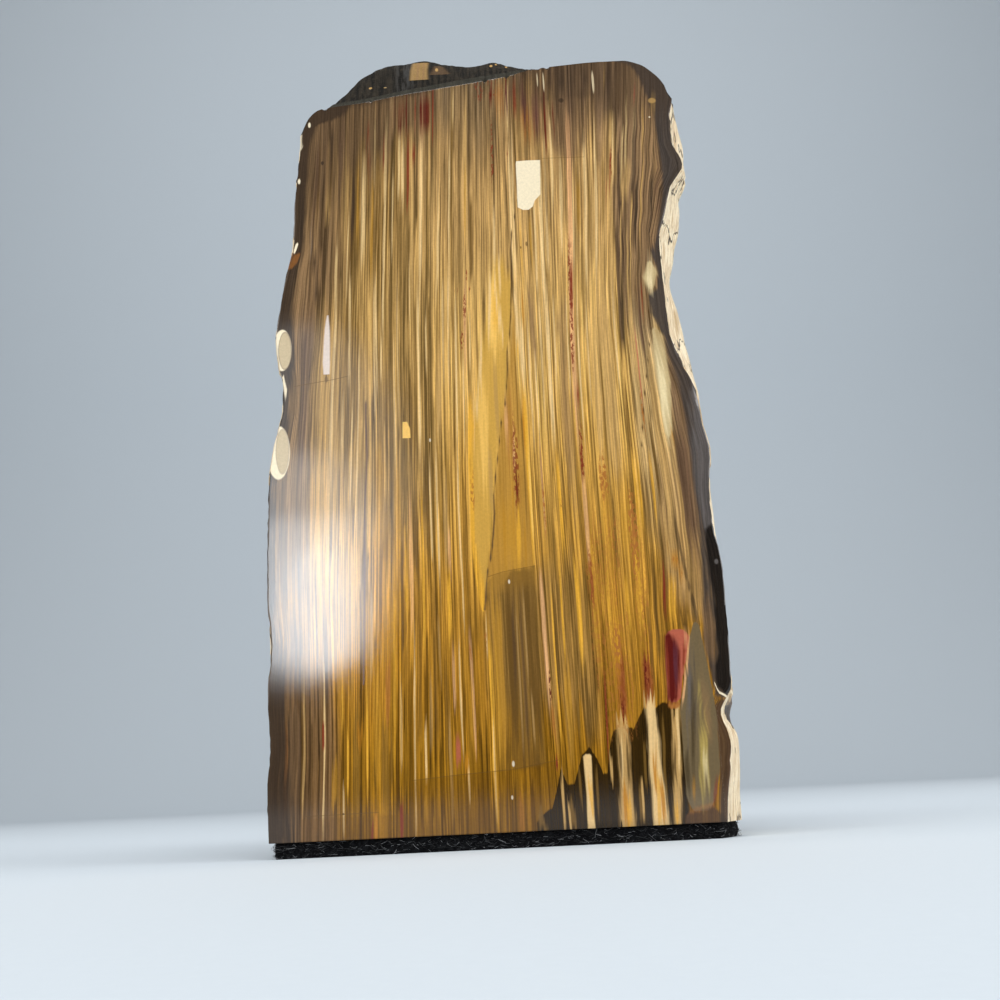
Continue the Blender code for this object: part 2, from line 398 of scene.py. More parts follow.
    def solve_height(self, gap: Callable[[np.ndarray], np.ndarray], low: np.ndarray, high: np.ndarray) -> np.ndarray:
        """Halve an interval until the gap closes.

        Args:
            gap: Function of the heights that falls through zero.
            low: Heights where it is above zero.
            high: Heights where it is below zero.

        Returns:
            The heights where it is zero.
        """
        for _ in range(24):
            middle = (low + high) / 2
            above = gap(middle) > 0
            low, high = np.where(above, middle, low), np.where(above, high, middle)
        return (low + high) / 2

    def build_face(self) -> np.ndarray:
        """Lay the polished face, with half as many rows inside as along its left and right edges.

        Returns:
            Point numbers of those two edges, from the base up.
        """
        place = np.concatenate([[0.0], self.face_columns(), [1.0]])
        full = self.solve_height(
            lambda h: Curve(self.shape.top_edge)(self.column_x(place, h)) - h,
            np.full(place.shape, 90.0),
            np.full(place.shape, 136.0),
        )
        height = self.shape.base + (full - self.shape.base)[None, :] * self.row_places()[:, None]
        worn_left, worn_right = self.arris_width(height[:, :1], 3.1), self.arris_width(height[:, -1:], 31.7)
        bite_left, bite_right = self.edge_wobble(height[:, :1], 11.3), self.edge_wobble(height[:, -1:], 47.9)
        x = self.column_x(place[None, :], height)
        left, right = x[:, :1] + bite_left, x[:, -1:] - bite_right
        x = x + (bite_left + worn_left) * ease(0.04, 0.0, place) - (bite_right + worn_right) * ease(0.96, 1.0, place)
        x[:, :1], x[:, -1:] = left, right
        self.face_grain = np.broadcast_to(self.grain_starts(place), x.shape)
        worn_top = self.arris_width(x[-1], 71.5)
        height[-2] = height[-1] - worn_top
        y = np.zeros_like(x)
        y[:, 0], y[:, -1] = worn_left[:, 0] * 0.8, worn_right[:, -1] * 0.8
        y[-1] = np.maximum(y[-1], worn_top * 0.8)
        y[0] = np.maximum(y[0], 0.1)
        self.rim_front = np.stack([x[-1], y[-1], height[-1]], axis=-1)
        self.face_x, self.face_z = x, height
        points = np.stack([x, y, height], axis=-1)
        left_edge, right_edge = self.store(points[:, 0]), self.store(points[:, -1])
        inner = self.store(points[self.face_rows][:, 1:-1])
        self.skin(inner, Facing.POLISHED)
        for row, (low, high) in enumerate(zip(self.face_rows, self.face_rows[1:])):
            left, right = left_edge[low : high + 1], right_edge[low : high + 1]
            self.add_strip([left[0], inner[row, 0], inner[row + 1, 0], *left[:0:-1]], Facing.POLISHED)
            self.add_strip([inner[row, -1], *right, inner[row + 1, -1]], Facing.POLISHED)
        self.face_foot = np.concatenate([left_edge[:1], inner[0], right_edge[:1]])
        self.face_top = np.concatenate([left_edge[-1:], inner[-1], right_edge[-1:]])
        return np.stack([left_edge, right_edge], axis=1)

    def in_point_order(self, values: np.ndarray) -> np.ndarray:
        """Put values for every row and column of the face in the order of the stone's points."""
        inner = values[self.face_rows][:, 1:-1].reshape((-1,) + values.shape[2:])
        return np.concatenate([values[:, 0], values[:, -1], inner])

    def build_sides(self, face: np.ndarray) -> np.ndarray:
        """Wrap the natural surface round the back, from the face's right edge to its left edge.

        Args:
            face: Point numbers of the face's two edges.

        Returns:
            Point numbers, with the base in the first row and the right edge in the first column.
        """
        even = np.linspace(0, 1, self.round_steps + 1)
        angle = math.pi * (even - 0.6 * np.sin(2 * math.pi * even) / (2 * math.pi))
        shape = self.shape
        rim = self.solve_height(
            lambda h: shape.top(shape.radius(angle, h) * np.cos(angle), shape.radius(angle, h) * np.sin(angle)) - h,
            np.full(angle.shape, 90.0),
            np.full(angle.shape, 138.0),
        )
        height = shape.base + (rim - shape.base)[None, :] * self.row_places()[:, None]
        turn = np.broadcast_to(angle, height.shape)
        reach = shape.radius(turn, height)
        cover = self.rind_cover(turn, height)
        thick = ease(-0.06, 0.08, cover) * ease(0.0, 0.02, turn) * ease(0.0, 0.02, math.pi - turn)
        reach = reach - self.bark_relief(turn, height) * (1 - 0.75 * thick) + 0.3 * thick - 0.15
        self.rind = cover[:, 1:-1]
        x, y = reach * np.cos(turn), reach * np.sin(turn)
        all_points = np.concatenate(self.points)
        for column, edge in ((0, face[:, 1]), (-1, face[:, 0])):
            start = all_points[edge]
            fade = np.exp(-y / 1.6)
            side = ease(0.35, 0.0, np.abs(even - (0 if column == 0 else 1)))
            y = y + start[:, 1:2] * fade * side
            x = x + (start[:, 0:1] - x[:, column][:, None]) * fade * side
        points = np.stack([x, y, height], axis=-1)
        inner = self.store(points[:, 1:-1])
        numbers = np.concatenate([face[:, 1:], inner, face[:, :1]], axis=1)
        self.rim_round = points[-1]
        self.rim_round[0], self.rim_round[-1] = self.rim_front[-1], self.rim_front[0]
        self.skin(numbers, Facing.WEATHERED)
        return numbers

    def rind_cover(self, angle: np.ndarray, height: np.ndarray) -> np.ndarray:
        """Where the pale rind is left on the natural surface.

        Args:
            angle: Angles round the log.
            height: Heights.

        Returns:
            Values above 0 where there is rind.
        """
        round_way = angle * self.shape.mean_radius
        patches = lattice_noise(round_way / 8, height / 15, 71.0)
        patches = patches + 0.6 * lattice_noise(round_way / 2.6, height / 5, 75.0)
        ragged = 0.25 * lattice_noise(round_way / 0.9, height / 1.8, 79.0)
        left_way = (math.pi - angle) * self.shape.mean_radius
        right_level = height + self.wander(round_way, height, 83.0)
        left_level = height + self.wander(left_way, height, 87.0)
        right = np.interp(right_level, *np.array(self.RIGHT_RIND).T) - round_way / 17 + 0.45 * patches
        left = np.interp(left_level, *np.array(self.LEFT_RIND).T) - left_way / 5.5 + 0.4 * patches
        return np.maximum(np.maximum(right, left), 1.1 * patches - 0.68) + ragged

    @staticmethod
    def wander(way: np.ndarray, height: np.ndarray, seed: float) -> np.ndarray:
        """How far the rind's ends stray up or down away from the face's edge."""
        return 9.0 * np.clip(way / 7, 0, 1) * lattice_noise(way / 3.2, height / 7, seed)

    def bark_relief(self, angle: np.ndarray, height: np.ndarray) -> np.ndarray:
        """Fine grooves, flakes and pits of the natural surface.

        Args:
            angle: Angles round the log.
            height: Heights.

        Returns:
            Depths to sink the surface.
        """
        round_way = angle * self.shape.mean_radius
        sway = 1.2 * lattice_noise(round_way / 9, height / 21, 4.0)
        groove = np.abs(lattice_noise((round_way + sway) / 2.4, height / 16, 9.0))
        fine = np.abs(lattice_noise((round_way + sway) / 0.9, height / 7, 23.0))
        pits = ease(0.35, 0.7, lattice_noise(round_way / 3.2, height / 4.6, 31.0))
        depth = 0.42 * (1 - ease(0, 0.35, groove)) + 0.2 * (1 - ease(0, 0.3, fine)) + 0.35 * pits
        return depth * ease(0.03, 0.3, angle) * ease(0.03, 0.3, math.pi - angle)

    def build_break(self, sides: np.ndarray) -> None:
        """Fill the broken top between the face's top edge and the rim of the sides.

        Args:
            sides: Point numbers of the sides.
        """
        columns, rows = self.break_columns, self.SIDE_STEPS
        rim, rim_numbers = self.rim_round, sides[-1]
        every = self.COLUMNS_PER_BREAK
        front = self.rim_front[::every]
        right, left = rim[: rows + 1], rim[::-1][: rows + 1]
        back = rim[rows : rows + columns + 1][::-1]
        across = np.linspace(0, 1, columns + 1)[None, :, None]
        depth = (np.linspace(0, 1, rows + 1) ** 2.0)[:, None, None]
        grid = (1 - depth) * front[None] + depth * back[None]
        grid = grid + (1 - across) * (left[:, None] - grid[:, :1]) + across * (right[:, None] - grid[:, -1:])
        margin = ease(0, 0.06, across) * ease(0, 0.06, 1 - across) * ease(0, 0.1, 1 - depth)
        inner = grid[1:-1, 1:-1]
        inner[..., 2] = self.break_height(inner[..., 0], inner[..., 1], margin[1:-1, 1:-1, 0])
        numbers = np.zeros((rows + 1, columns + 1), int)
        numbers[0] = self.face_top[::every]
        numbers[:, -1] = rim_numbers[: rows + 1]
        numbers[:, 0] = rim_numbers[::-1][: rows + 1]
        numbers[-1] = rim_numbers[rows : rows + columns + 1][::-1]
        numbers[1:-1, 1:-1] = self.store(inner)
        self.skin(numbers[1:], Facing.BROKEN)
        for column in range(columns):
            edge = self.face_top[every * column : every * (column + 1) + 1]
            self.add_strip([*edge, numbers[1, column + 1], numbers[1, column]], Facing.BROKEN)

    def break_height(self, x: np.ndarray, y: np.ndarray, margin: np.ndarray) -> np.ndarray:
        """Height of the broken top with its ledge, ridge and small fractures.

        Args:
            x: Distances right of the middle line.
            y: Distances behind the face.
            margin: 0 at the rim of the sides and 1 a little way in from it.

        Returns:
            Heights.
        """
        edge = Curve(self.shape.top_edge)(x)
        broad = self.shape.top(x, y, setback=1.0) - edge
        ledge_rise = Curve(((-44, 0), (-27, 0), (-25.5, 0.8), (-12, 1.1), (0, 1.3), (6, 1.0), (11, 0), (44, 0)))(x)
        ledge = ledge_rise * ease(0.22, 0.42, y) * (1 - ease(0.9, 1.2, y))
        chip = np.abs(lattice_noise(x / 3.1, y / 2.2, 5.0)) + 0.5 * np.abs(lattice_noise(x / 1.3, y / 1.1, 8.0))
        flute = lattice_noise(x / 0.9, y / 5.0, 13.0) + 0.6 * lattice_noise(x / 0.4, y / 3.0, 17.0)
        rough = ease(3.5, 7.0, y)
        relief = 0.9 * (chip - 0.45) * (0.25 + 0.75 * rough) + 0.16 * flute * (1 - rough)
        relief = relief * ease(0.9, 2.6, y) * margin
        height = edge + np.maximum(broad, 0) * ease(0.8, 1.5, y) + np.minimum(broad, 0) + ledge - relief
        return np.minimum(height, STONE_HIGH.z / MM - 0.02)

    def build(self) -> bpy.types.Object:
        """Make the stone.

        Returns:
            The finished object.
        """
        face = self.build_face()
        sides = self.build_sides(face)
        self.build_break(sides)
        self.add_strip([*self.face_foot[::-1], *sides[0, ::-1][1:-1]], Facing.SAWN)
        points = np.concatenate(self.points)
        quads = np.concatenate(self.quads)
        facings = np.concatenate(self.facings).tolist() + [facing.value for _, facing in self.strips]
        placed = np.clip(in_metres(points), STONE_LOW, STONE_HIGH)
        mesh = make_mesh(STONE, placed, quads.tolist() + [strip for strip, _ in self.strips])
        mesh.polygons.foreach_set("material_index", facings)
        cover = np.full(len(points), 1.0)
        first = len(self.in_point_order(self.face_x))
        cover[first : first + self.rind.size] = self.rind.ravel()
        store_values(mesh, "rind_cover", cover)
        grain = np.zeros(len(points))
        grain[:first] = self.in_point_order(self.face_grain)
        store_values(mesh, "grain", grain)
        mesh.set_sharp_from_angle(angle=self.SHARP_ANGLE)
        mesh.update()
        return link_object("petrified_wood_stone", mesh)


def operator(operation: str, number_first: bool = False) -> Callable[..., "Wire"]:
    """Make one kind of arithmetic for wires, which adds a Math node.

    Args:
        operation: The node's operation.
        number_first: Whether the other value comes first.

    Returns:
        The method.
    """

    def method(wire: "Wire", *others: "Wire | float") -> "Wire":
        """Add the node."""
        values = (*others, wire) if number_first else (wire, *others)
        return wire.graph.math(operation, *values)

    return method


class Wire:
    """A value on its way through a node tree. Arithmetic on it adds Math nodes."""

    def __init__(self, graph: "Graph", socket: bpy.types.NodeSocket) -> None:
        """Hold a socket."""
        self.graph = graph
        self.socket = socket

    def other(self, output: int | str) -> "Wire":
        """Another output of the same node."""
        return Wire(self.graph, self.socket.node.outputs[output])

    __add__, __radd__ = operator("ADD"), operator("ADD", number_first=True)
    __sub__, __rsub__ = operator("SUBTRACT"), operator("SUBTRACT", number_first=True)
    __mul__, __rmul__ = operator("MULTIPLY"), operator("MULTIPLY", number_first=True)
    __truediv__, __rtruediv__ = operator("DIVIDE"), operator("DIVIDE", number_first=True)
    __abs__ = operator("ABSOLUTE")


Value = Wire | float | Sequence[float]


class Graph:
    """The node tree of one material, with a Principled BSDF at its end."""

    FLOAT_MIX = (0, 2, 3, 0)
    COLOUR_MIX = (0, 6, 7, 2)

    def __init__(self, name: str) -> None:
        """Start a material.

        Args:
            name: The material's name.
        """
        self.material = bpy.data.materials.new(name)
        self.material.use_nodes = True
        self.nodes = self.material.node_tree.nodes
        self.links = self.material.node_tree.links
        self.surface = self.nodes["Principled BSDF"]

    def plug(self, socket: bpy.types.NodeSocket, value: Value) -> None:
        """Link a wire to a socket, or set the socket's own value.

        Args:
            socket: The input.
            value: A wire, a number, or the parts of a vector or colour.
        """
        if isinstance(value, Wire):
            self.links.new(value.socket, socket)
        elif isinstance(value, (int, float)):
            socket.default_value = value
        else:
            missing = len(socket.default_value) - len(value)
            socket.default_value = tuple(value) + (1.0,) * missing

    def add(
        self,
        kind: str,
        settings: Mapping[str, object] | None = None,
        inputs: Mapping[int | str, Value] | None = None,
        output: int | str = 0,
    ) -> Wire:
        """Add any node.

        Args:
            kind: The node's type, without the ShaderNode in front.
            settings: Its own settings, set before its sockets.
            inputs: Values or wires for its sockets.
            output: Which output to hand back.

        Returns:
            The output.
        """
        node = self.nodes.new("ShaderNode" + kind)
        for name, value in (settings or {}).items():
            if name == "points":
                self.bend(node.mapping, value)
            else:
                setattr(node, name, value)
        for name, value in (inputs or {}).items():
            self.plug(node.inputs[name], value)
        return Wire(self, node.outputs[output])

    def bend(self, mapping: bpy.types.CurveMapping, points: Keys) -> None:
        """Lay straight runs through points on a curve that is level past its ends.

        Args:
            mapping: The curve's mapping.
            points: Pairs from 0 to 1, in rising order.
        """
        mapping.use_clip = False
        mapping.extend = "HORIZONTAL"
        line = mapping.curves[0]
        for extra in points[2:]:
            line.points.new(*extra)
        for point, (place, value) in zip(line.points, points):
            point.location = (place, value)
            point.handle_type = "VECTOR"
        mapping.update()

    def math(self, operation: str, *values: Value) -> Wire:
        """Add a Math node."""
        return self.add("Math", {"operation": operation}, dict(enumerate(values)))

    def read(self, name: str, output: str = "Fac") -> Wire:
        """Read what is stored on the points of the mesh."""
        return self.add("Attribute", {"attribute_name": name}, output=output)

    def bump(self, strength: float, distance: float, height: Wire) -> Wire:
        """Turn a height into a normal, with the distance in metres."""
        return self.add("Bump", inputs={"Strength": strength, "Distance": distance, "Height": height})

    def combine(self, x: Value, y: Value, z: Value) -> Wire:
        """Join three values in a vector."""
        return self.add("CombineXYZ", inputs={0: x, 1: y, 2: z})

    def step(self, value: Value, low: Value, high: Value, start: float = 0.0, end: float = 1.0) -> Wire:
        """Ramp a value smoothly between two levels."""
        inputs = {0: value, 1: low, 2: high, 3: start, 4: end}
        return self.add("MapRange", {"interpolation_type": "SMOOTHSTEP"}, inputs)

    def blend(self, amount: Value, first: Value, second: Value) -> Wire:
        """Mix two colours."""
        factor, a, b, result = self.COLOUR_MIX
        return self.add("Mix", {"data_type": "RGBA"}, {factor: amount, a: first, b: second}, result)

    def tint(self, colour: Value, by: Value) -> Wire:
        """Scale a colour by a number."""
        return self.add("VectorMath", {"operation": "SCALE"}, {0: colour, 3: by})

    def noise(
        self, place: Wire | tuple[Value, ...], detail: float = 2.0, roughness: float = 0.5, distortion: float = 0.0
    ) -> Wire:
        """Read gradient noise at a place or at three coordinates, one cell a unit, from about 0 to 1.

        Args:
            place: A place, or its three coordinates.
            detail: How many finer layers are added.
            roughness: How strong they are.
            distortion: How far it is swirled.

        Returns:
            The noise.
        """
        where = place if isinstance(place, Wire) else self.combine(*place)
        inputs = {"Vector": where, "Scale": 1.0, "Detail": detail, "Roughness": roughness}
        return self.add("TexNoise", inputs=inputs | {"Distortion": distortion})

    def stretch(self, place: Wire, scale: Sequence[float], offset: Sequence[float] = (0, 0, 0)) -> Wire:
        """Scale a place along each axis and then slide it."""
        return self.add("VectorMath", {"operation": "MULTIPLY_ADD"}, {0: place, 1: scale, 2: offset})

    def place(self) -> Wire:
        """Where the shaded point is on the stone, in millimetres."""
        metres = self.add("TexCoord", output="Object")
        return self.stretch(metres, (1 / MM,) * 3, (-SHIFT_X, -SHIFT_Y, 0))

    def finish(self, **sockets: Value) -> bpy.types.Material:
        """Plug the Principled BSDF.

        Args:
            sockets: Values and wires by the name of the socket, with _ for spaces.

        Returns:
            The material.
        """
        for name, value in sockets.items():
            self.plug(self.surface.inputs[name.replace("_", " ")], value)
        return self.material


@dataclass
class FeltPad:
    """Black wool felt under the sawn base: a soft-edged sheet with loose fibres."""

    MIDDLE: ClassVar[tuple[float, float]] = (0.0, 20.0)

    inset: float = 0.6
    thickness: float = 2.28
    steps: int = 420
    rim_rows: int = 10
    corner: float = 1.6
    fibres: int = 2600
    fibre_sides: int = 3
    fibre_joints: int = 7

    def outline(self, shape: LogShape) -> np.ndarray:
        """Outline of the pad, drawn in from the base of the stone.

        Args:
            shape: The log.

        Returns:
            Points x, y, evenly spaced, anticlockwise from above.
        """
        angle = np.linspace(0.0, math.pi, 400)
        reach = shape.radius(angle, np.full(angle.shape, shape.base)) - self.inset
        x, y = reach * np.cos(angle), np.maximum(reach * np.sin(angle), self.inset)
        front = np.linspace(x[-1], x[0], 200)[1:-1]
        x, y = np.append(x, front), np.append(y, np.full(front.shape, self.inset))
        closed = np.stack([np.append(x, x[0]), np.append(y, y[0])], axis=1)
        run = np.concatenate([[0], np.cumsum(np.hypot(*np.diff(closed, axis=0).T))])
        even = np.linspace(0, run[-1], self.steps, endpoint=False)
        points = np.stack([np.interp(even, run, closed[:, k]) for k in (0, 1)], axis=1)
        window = max(1, int(self.corner / (run[-1] / self.steps) * 0.8))
        kernel = np.hanning(2 * window + 3)[1:-1]
        kernel /= kernel.sum()
        for k in (0, 1):
            wrapped = np.concatenate([points[-window:, k], points[:, k], points[:window, k]])
            points[:, k] = np.convolve(wrapped, kernel, mode="valid")
        return points

    def build_sheet(self, shape: LogShape) -> bpy.types.Object:
        """Make the pad.

        Args:
            shape: The log.

        Returns:
            The finished object.
        """
        outline = self.outline(shape)
        following = np.roll(outline, -1, axis=0) - np.roll(outline, 1, axis=0)
        outward = np.stack([following[:, 1], -following[:, 0]], axis=1)
        outward /= np.linalg.norm(outward, axis=1)[:, None]
        rings = []
        lift = np.linspace(-0.5, 0.5, self.rim_rows)
        run = np.arange(self.steps) * 0.45
        for part in lift:
            bulge = -0.22 * (2 * abs(part)) ** 3
            fluff = 0.16 * lattice_noise(run / 0.9, part * 5, 3.0) + 0.12 * lattice_noise(run / 3.7, part * 2, 9.0)
            sag = 0.05 * lattice_noise(run / 1.4, part * 3, 14.0) * (1 - (2 * part) ** 2)
            height = self.thickness * (part + 0.5) + sag
            place = outline + outward * (bulge + fluff - 0.05)[:, None]
            rings.append(np.column_stack([place, height]))
        for share in (0.96, 0.85):
            for ring, level, at in ((rings[0], 0.0, 0), (rings[-1], self.thickness - 0.02, len(rings) + 1)):
                flat = self.MIDDLE + (ring[:, :2] - self.MIDDLE) * share
                rings.insert(at, np.column_stack([flat, np.full(self.steps, level)]))
        points = in_metres(np.stack(rings))
        points[:, 2] = np.clip(points[:, 2], 0, self.thickness * MM)
        numbers = np.arange(len(points)).reshape(len(rings), self.steps)
        quads = quads_over(np.concatenate([numbers, numbers[:, :1]], axis=1)).tolist()
        self.edge, self.outward = outline, outward
        mesh = make_mesh(PAD, points, [*quads, numbers[0, ::-1].tolist(), numbers[-1].tolist()])
        return link_object("felt_pad_sheet", mesh)

    def build_fibres(self) -> bpy.types.Object:
        """Make the loose fibres round the pad's edge.

        Returns:
            The finished object.
        """
        rng = np.random.default_rng(41)
        pick = rng.integers(0, self.steps, self.fibres)
        root = self.edge[pick] + self.outward[pick] * rng.uniform(-0.12, 0.1, (self.fibres, 1))
        rise = rng.uniform(0.06, 0.94, self.fibres) * self.thickness
        start = np.column_stack([root, rise])
        out = np.column_stack([self.outward[pick], np.zeros(self.fibres)])
        along = np.column_stack([-self.outward[pick][:, 1], self.outward[pick][:, 0], np.zeros(self.fibres)])
        along *= rng.choice([-1.0, 1.0], (self.fibres, 1))
        up = np.array([0.0, 0.0, 1.0])
        length = rng.gamma(3.0, 0.55, self.fibres)
        lean = rng.normal(0, 0.45, self.fibres)
        heading = along + up * lean[:, None] + out * rng.uniform(0.1, 0.7, (self.fibres, 1))
        curl = rng.normal(0, 1.1, (self.fibres, 3))
        joints = [start]
        for joint in range(1, self.fibre_joints):
            heading = heading + 0.32 * curl * math.sin(1.7 * joint) - 0.16 * out * joint
            heading /= np.linalg.norm(heading, axis=1)[:, None]
            joints.append(joints[-1] + heading * (length / (self.fibre_joints - 1))[:, None])
        line = np.stack(joints, axis=1)
        tube = self.tubes(line, rng.uniform(0.016, 0.034, self.fibres))
        shade = rng.beta(0.7, 2.6, self.fibres)
        points = in_metres(tube)
        points[:, 2] = np.maximum(points[:, 2], 0.00002)
        mesh = make_mesh("felt_fibres", points, self.tube_faces())
        store_values(mesh, "fibre_shade", np.repeat(shade, self.fibre_joints * self.fibre_sides))
        return link_object("felt_pad_fibres", mesh)

    def tubes(self, line: np.ndarray, thick: np.ndarray) -> np.ndarray:
        """Sweep thin tubes.

        Args:
            line: Fibres, joints and x, y, z.
            thick: Radius of each fibre.

        Returns:
            Points by fibre, joint and side.
        """
        run = np.gradient(line, axis=1)
        run /= np.linalg.norm(run, axis=2)[..., None] + 1e-9
        side = np.cross(run, [0.31, 0.22, 0.92])
        side /= np.linalg.norm(side, axis=2)[..., None] + 1e-9
        other = np.cross(run, side)
        turn = np.arange(self.fibre_sides) * 2 * math.pi / self.fibre_sides
        taper = np.linspace(1.0, 0.45, self.fibre_joints)[None, :, None, None]
        ring = side[:, :, None] * np.cos(turn)[:, None] + other[:, :, None] * np.sin(turn)[:, None]
        return line[:, :, None] + ring * thick[:, None, None, None] * taper

    def tube_faces(self) -> list[list[int]]:
        """Faces of every fibre, with its two ends closed.

        Returns:
            Lists of point numbers.
        """
        sides, joints = self.fibre_sides, self.fibre_joints
        faces = []
        for joint in range(joints - 1):
            for side in range(sides):
                low, high = joint * sides, (joint + 1) * sides
                faces.append([low + side, low + (side + 1) % sides, high + (side + 1) % sides, high + side])
        caps = [list(range(sides))[::-1], list(range((joints - 1) * sides, joints * sides))]
        step = sides * joints
        return [[n + fibre * step for n in face] for fibre in range(self.fibres) for face in faces + caps]


@dataclass(frozen=True)
class Finish:
    """Colour and gloss of one kind of mineral or fibre."""

    colour: Colour
    roughness: float = 0.13


class Mineral(Enum):
    """Colours that the stone is made of."""

    CREAM_PATCH = Finish((0.84, 0.71, 0.49), 0.2)
    LILAC = Finish((0.70, 0.58, 0.50), 0.16)
    CREAM = Finish((0.76, 0.51, 0.225))
    PALE_TAN = Finish((0.55, 0.33, 0.115))
    TAN = Finish((0.40, 0.235, 0.078))
    OLIVE_TAN = Finish((0.30, 0.17, 0.05))
    OLIVE = Finish((0.185, 0.098, 0.020))
    DEEP_OLIVE = Finish((0.135, 0.055, 0.003))
    GREY_BROWN = Finish((0.26, 0.15, 0.065))
    BROWN = Finish((0.175, 0.10, 0.048))
    PEACH = Finish((0.72, 0.38, 0.165))
    GOLD = Finish((0.70, 0.35, 0.036))
    AMBER = Finish((0.48, 0.235, 0.026))
    DARK_AMBER = Finish((0.44, 0.20, 0.018))
    FLAME = Finish((0.86, 0.51, 0.125))
    FLAME_TAN = Finish((0.56, 0.315, 0.058))
    FLAME_BROWN = Finish((0.41, 0.205, 0.033))
    UMBER = Finish((0.12, 0.060, 0.013))
    RUST = Finish((0.36, 0.13, 0.028))
    ORANGE = Finish((0.47, 0.19, 0.015))
    RED = Finish((0.20, 0.032, 0.014))
    CRIMSON = Finish((0.10, 0.009, 0.006))
    ROSE = Finish((0.42, 0.105, 0.06))
    DUSK = Finish((0.055, 0.033, 0.019))
    DUSK_TAN = Finish((0.24, 0.135, 0.058))
    UMBER_TAN = Finish((0.19, 0.095, 0.030))
    LENS = Finish((0.52, 0.385, 0.19))
    PALE_LENS = Finish((0.80, 0.65, 0.37))
    PURPLE = Finish((0.10, 0.025, 0.034))
    OVAL = Finish((0.56, 0.44, 0.27), 0.3)
    MAUVE = Finish((0.125, 0.068, 0.038))
    DARK_MAUVE = Finish((0.07, 0.040, 0.024))
    SKIN = Finish((0.040, 0.026, 0.017))
    BARK = Finish((0.04, 0.024, 0.014))
    CHARCOAL = Finish((0.058, 0.045, 0.037))
    SLATE = Finish((0.12, 0.105, 0.098))
    GLASS_BLACK = Finish((0.012, 0.009, 0.007), 0.08)
    COMB = Finish((0.017, 0.0085, 0.001))
    AGATE = Finish((0.15, 0.108, 0.055), 0.09)
    AGATE_GOLD = Finish((0.44, 0.32, 0.085), 0.09)
    AGATE_DARK = Finish((0.06, 0.040, 0.018), 0.09)
    RIND = Finish((0.90, 0.76, 0.53), 0.38)
    RIND_SHADE = Finish((0.60, 0.42, 0.23), 0.4)
    CRACK = Finish((0.07, 0.035, 0.012), 0.3)
    PURPLE_LINE = Finish((0.10, 0.05, 0.035), 0.2)
    WHITE = Finish((0.80, 0.70, 0.52), 0.2)

    @property
    def colour(self) -> Colour:
        """Its colour."""
        return self.value.colour

    @property
    def roughness(self) -> float:
        """How rough it is when polished."""
        return self.value.roughness


class FaceGrid:
    """Points of the face, bent the way the grain sways, for laying marks on them."""

    def __init__(self, grain: np.ndarray, x: np.ndarray, z: np.ndarray) -> None:
        """Bend the places once.

        Args:
            grain: Lines of the grain, each the same number from the base to the top.
            x: Distances right of the middle line.
            z: Heights.
        """
        self.grain, self.z = grain, z
        self.x = x + 0.12 * lattice_noise(x * 0.6, z * 0.12, 3.0) + 0.05 * lattice_noise(x * 1.9, z * 0.16, 9.0)
        self.frayed_z = z + 3.2 * lattice_noise(grain * 2.9, z * 0.05, 21.0)
        self.zone_x = x + 1.6 * lattice_noise(grain * 0.13, z * 0.03, 60.0)
        self.zone_z = z + 7.0 * lattice_noise(grain * 0.8, z * 0.02, 66.0)
        self.zone_z += 4.0 * lattice_noise(grain * 0.1, z * 0.1, 69.0)
        patchy = lattice_noise(grain * 2.3, z * 0.13, 40.0) + 0.5 * lattice_noise(grain * 4.6, z * 0.3, 43.0)
        self.rim = -0.02 - 0.34 * patchy
        self.whole = self

    def line_at(self, x: float, z: float) -> float:
        """Line of the grain that passes a place.

        Args:
            x: Distance right of the middle line.
            z: Height.

        Returns:
            The line's place at half height.
        """
        rows = self.whole.z[:, self.whole.z.shape[1] // 2]
        row = int(np.argmin(np.abs(rows - z)))
        return float(np.interp(x, self.whole.x[row], self.whole.grain[row]))

    def columns(self, left: float, right: float) -> slice:
        """Columns between two lines of the grain."""
        first, last = np.searchsorted(self.grain[0], (left, right))
        return slice(max(first - 1, 0), last + 1)

    def part(self, columns: slice) -> "FaceGrid":
        """The same grid with only some of its columns.

        Args:
            columns: Which columns.

        Returns:
            The smaller grid.
        """
        small = object.__new__(FaceGrid)
        small.__dict__ = {name: values[:, columns] for name, values in self.__dict__.items() if name != "whole"}
        small.whole = self.whole
        return small


class Stack:
    """Colour and roughness of a surface while marks are laid over each other."""

    TALL = 140.0
    WIDE = 80.0

    def __init__(self, graph: Graph) -> None:
        """Read the shared places once.

        Args:
            graph: The material's tree.
        """
        self.graph = graph
        split = graph.add("SeparateXYZ", inputs={0: graph.place()})
        x, self.y, z = split, split.other("Y"), split.other("Z")
        shiver = graph.noise((x * 1.7, z * 0.33, 9.0), 1.0) - 0.5
        self.x = x + shiver * 0.12
        self.z = z
        self.grain = graph.read("grain")
        self.unit_x = (self.x + self.WIDE / 2) / self.WIDE
        self.unit_z = self.z / self.TALL
        patchy = graph.noise((self.grain * 2.3, z * 0.16, 40.0), 2.0, 0.6)
        self.rim = 0.38 - patchy * 0.8
        self.core = self.rim + 0.55
        spots = graph.noise((x * 2.6, z * 1.1, 55.0), 2.0)
        self.spots = graph.step(spots, 0.46, 0.54)
        self.colour: Value = (0, 0, 0)
        self.roughness: Value = 0.13

    def lay(self, mask: Wire, mineral: Mineral) -> None:
        """Lay one mineral over what is there.

        Args:
            mask: Where it shows.
            mineral: Which mineral.
        """
        self.colour = self.graph.blend(mask, self.colour, mineral.colour)
        if abs(mineral.roughness - 0.13) > 0.02:
            factor, low, high, result = Graph.FLOAT_MIX
            inputs = {factor: mask, low: self.roughness, high: mineral.roughness}
            self.roughness = self.graph.add("Mix", {"data_type": "FLOAT"}, inputs, result)


